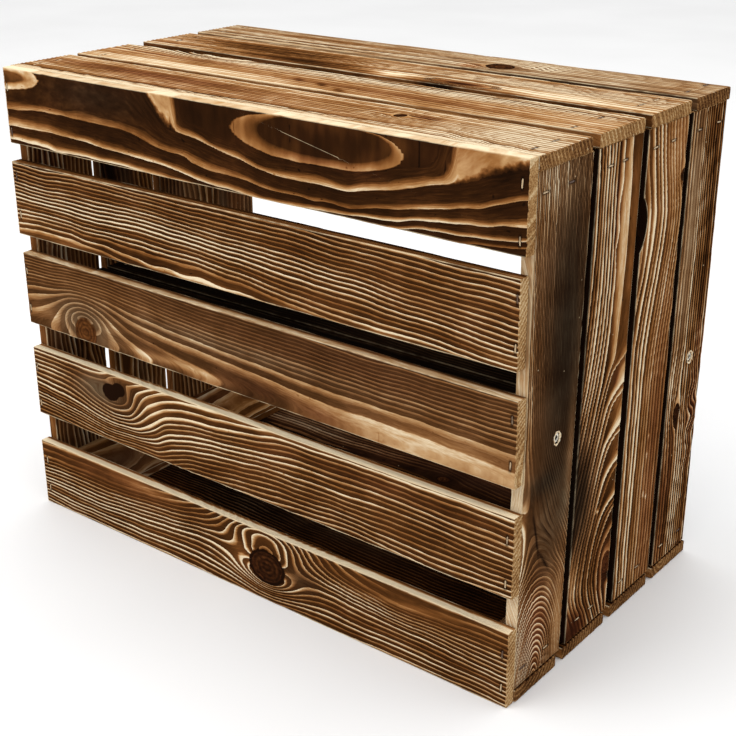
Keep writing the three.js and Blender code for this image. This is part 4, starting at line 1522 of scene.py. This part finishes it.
# The camera's place in metres, and which way its right, its top and its back face
CAMERA_PLACE = (0.64987, -0.80195, 0.58692)
CAMERA_RIGHT = (0.78555, 0.61879, -0.00353)
CAMERA_UP = (-0.23858, 0.30813, 0.92094)
CAMERA_BACK = (0.57096, -0.7226, 0.38968)
CAMERA_LENS = 65.04
CAMERA_FRAME = 36

FLOOR_HALF = 6000
SKY_STRENGTH = 0.95

# The soft lights: name, place and aim in metres, size and power
LIGHTS = (
    ("key", (-0.9, -1.6, 1.9), (0, 0, 0.2), 1.6, 22),
    ("over", (0.1, 0.2, 2.2), (0, 0, 0.3), 1.8, 16),
)


def make_camera():
    """A camera at the photograph's place, with its lens on a square frame."""
    data = bpy.data.cameras.new("camera")
    data.lens = CAMERA_LENS
    data.sensor_width = CAMERA_FRAME
    camera = bpy.data.objects.new("camera", data)
    turn = Matrix((CAMERA_RIGHT, CAMERA_UP, CAMERA_BACK)).transposed().to_4x4()
    camera.matrix_world = Matrix.Translation(CAMERA_PLACE) @ turn
    bpy.context.scene.collection.objects.link(camera)
    bpy.context.scene.camera = camera


def make_light(name, place, aim, size, power):
    """A square soft light that looks at a point."""
    data = bpy.data.lights.new(name, "AREA")
    data.size = size
    data.energy = power
    light = bpy.data.objects.new(name, data)
    light.location = place
    way = Vector(aim) - Vector(place)
    light.rotation_euler = way.to_track_quat("-Z", "Y").to_euler()
    bpy.context.scene.collection.objects.link(light)


def make_studio():
    """A white floor and sky, and two large soft lights, one over the front and one overhead."""
    corners = np.array([[-1, -1, 0], [1, -1, 0], [1, 1, 0], [-1, 1, 0]]) * FLOOR_HALF
    floor = mesh_piece("floor", corners, np.array([[0, 1, 2, 3]]), {})
    floor.data.materials.append(floor_paper())
    world = bpy.data.worlds.new("sky")
    bpy.context.scene.world = world
    world.use_nodes = True
    sky = world.node_tree.nodes["Background"]
    sky.inputs["Color"].default_value = (1, 1, 1, 1)
    sky.inputs["Strength"].default_value = SKY_STRENGTH
    for light in LIGHTS:
        make_light(*light)
    bpy.context.scene.view_settings.view_transform = "Standard"


# ---------------------------------------------------------------------------------------------------
# The crate
# ---------------------------------------------------------------------------------------------------

PLAIN_SEED = 100
POST_SEED = 200
CLEAT_SEED = 210
STAPLE_SEED = 7


def make_panels():
    """All the boards with their staples and screws."""
    woods = {slot: wood(slot) for slot in dict.fromkeys(board.slot for board in BOARDS)}
    wire = stained_wire()
    steel = pale_zinc()
    bare = torn_fibres()
    dice = np.random.default_rng(STAPLE_SEED)
    for count, board in enumerate(BOARDS):
        staples = staple_places(board)
        screws = screw_spots(board)
        grain = GRAINS.get(board.node)
        if grain is None:
            grain = plain_grain(PLAIN_SEED + count, PLAIN_HALF_WIDTH, **PLAIN_LOOKS[board.slot])
        staple_holes = [(staple.u, staple.v) for staple in staples]
        screw_holes = [(u, v) for u, v, _ in screws]
        make_board(board, grain, staple_holes, screw_holes, woods[board.slot])
        for staple in staples:
            make_staple(staple, dice, wire)
        for u, v, name in screws:
            make_screw(board, u, v, name, steel)
            make_burr(board, u, v, name, bare)


def make_battens():
    """The four corner posts, which are thinner towards the crate's middle, and the two cleats."""
    post_wood = wood("post_wood")
    for count, (name, rise) in enumerate((("post_top", -1), ("post_bottom", 1))):
        for side, end in ((-1, "left"), (1, "right")):
            seed = POST_SEED + 2 * count + (side > 0)
            tips = (SIDE_TIP, END_TIP)
            make_batten(f"{name}_{end}", (SIDE_LEG, END_LEG), tips, side, rise, seed, post_wood)
    for side, end in ((-1, "left"), (1, "right")):
        square = (CLEAT, CLEAT)
        make_batten(f"shelf_cleat_{end}", square, (CLEAT, 0), side, -1, CLEAT_SEED + side, post_wood)


make_camera()
make_studio()
make_panels()
make_battens()
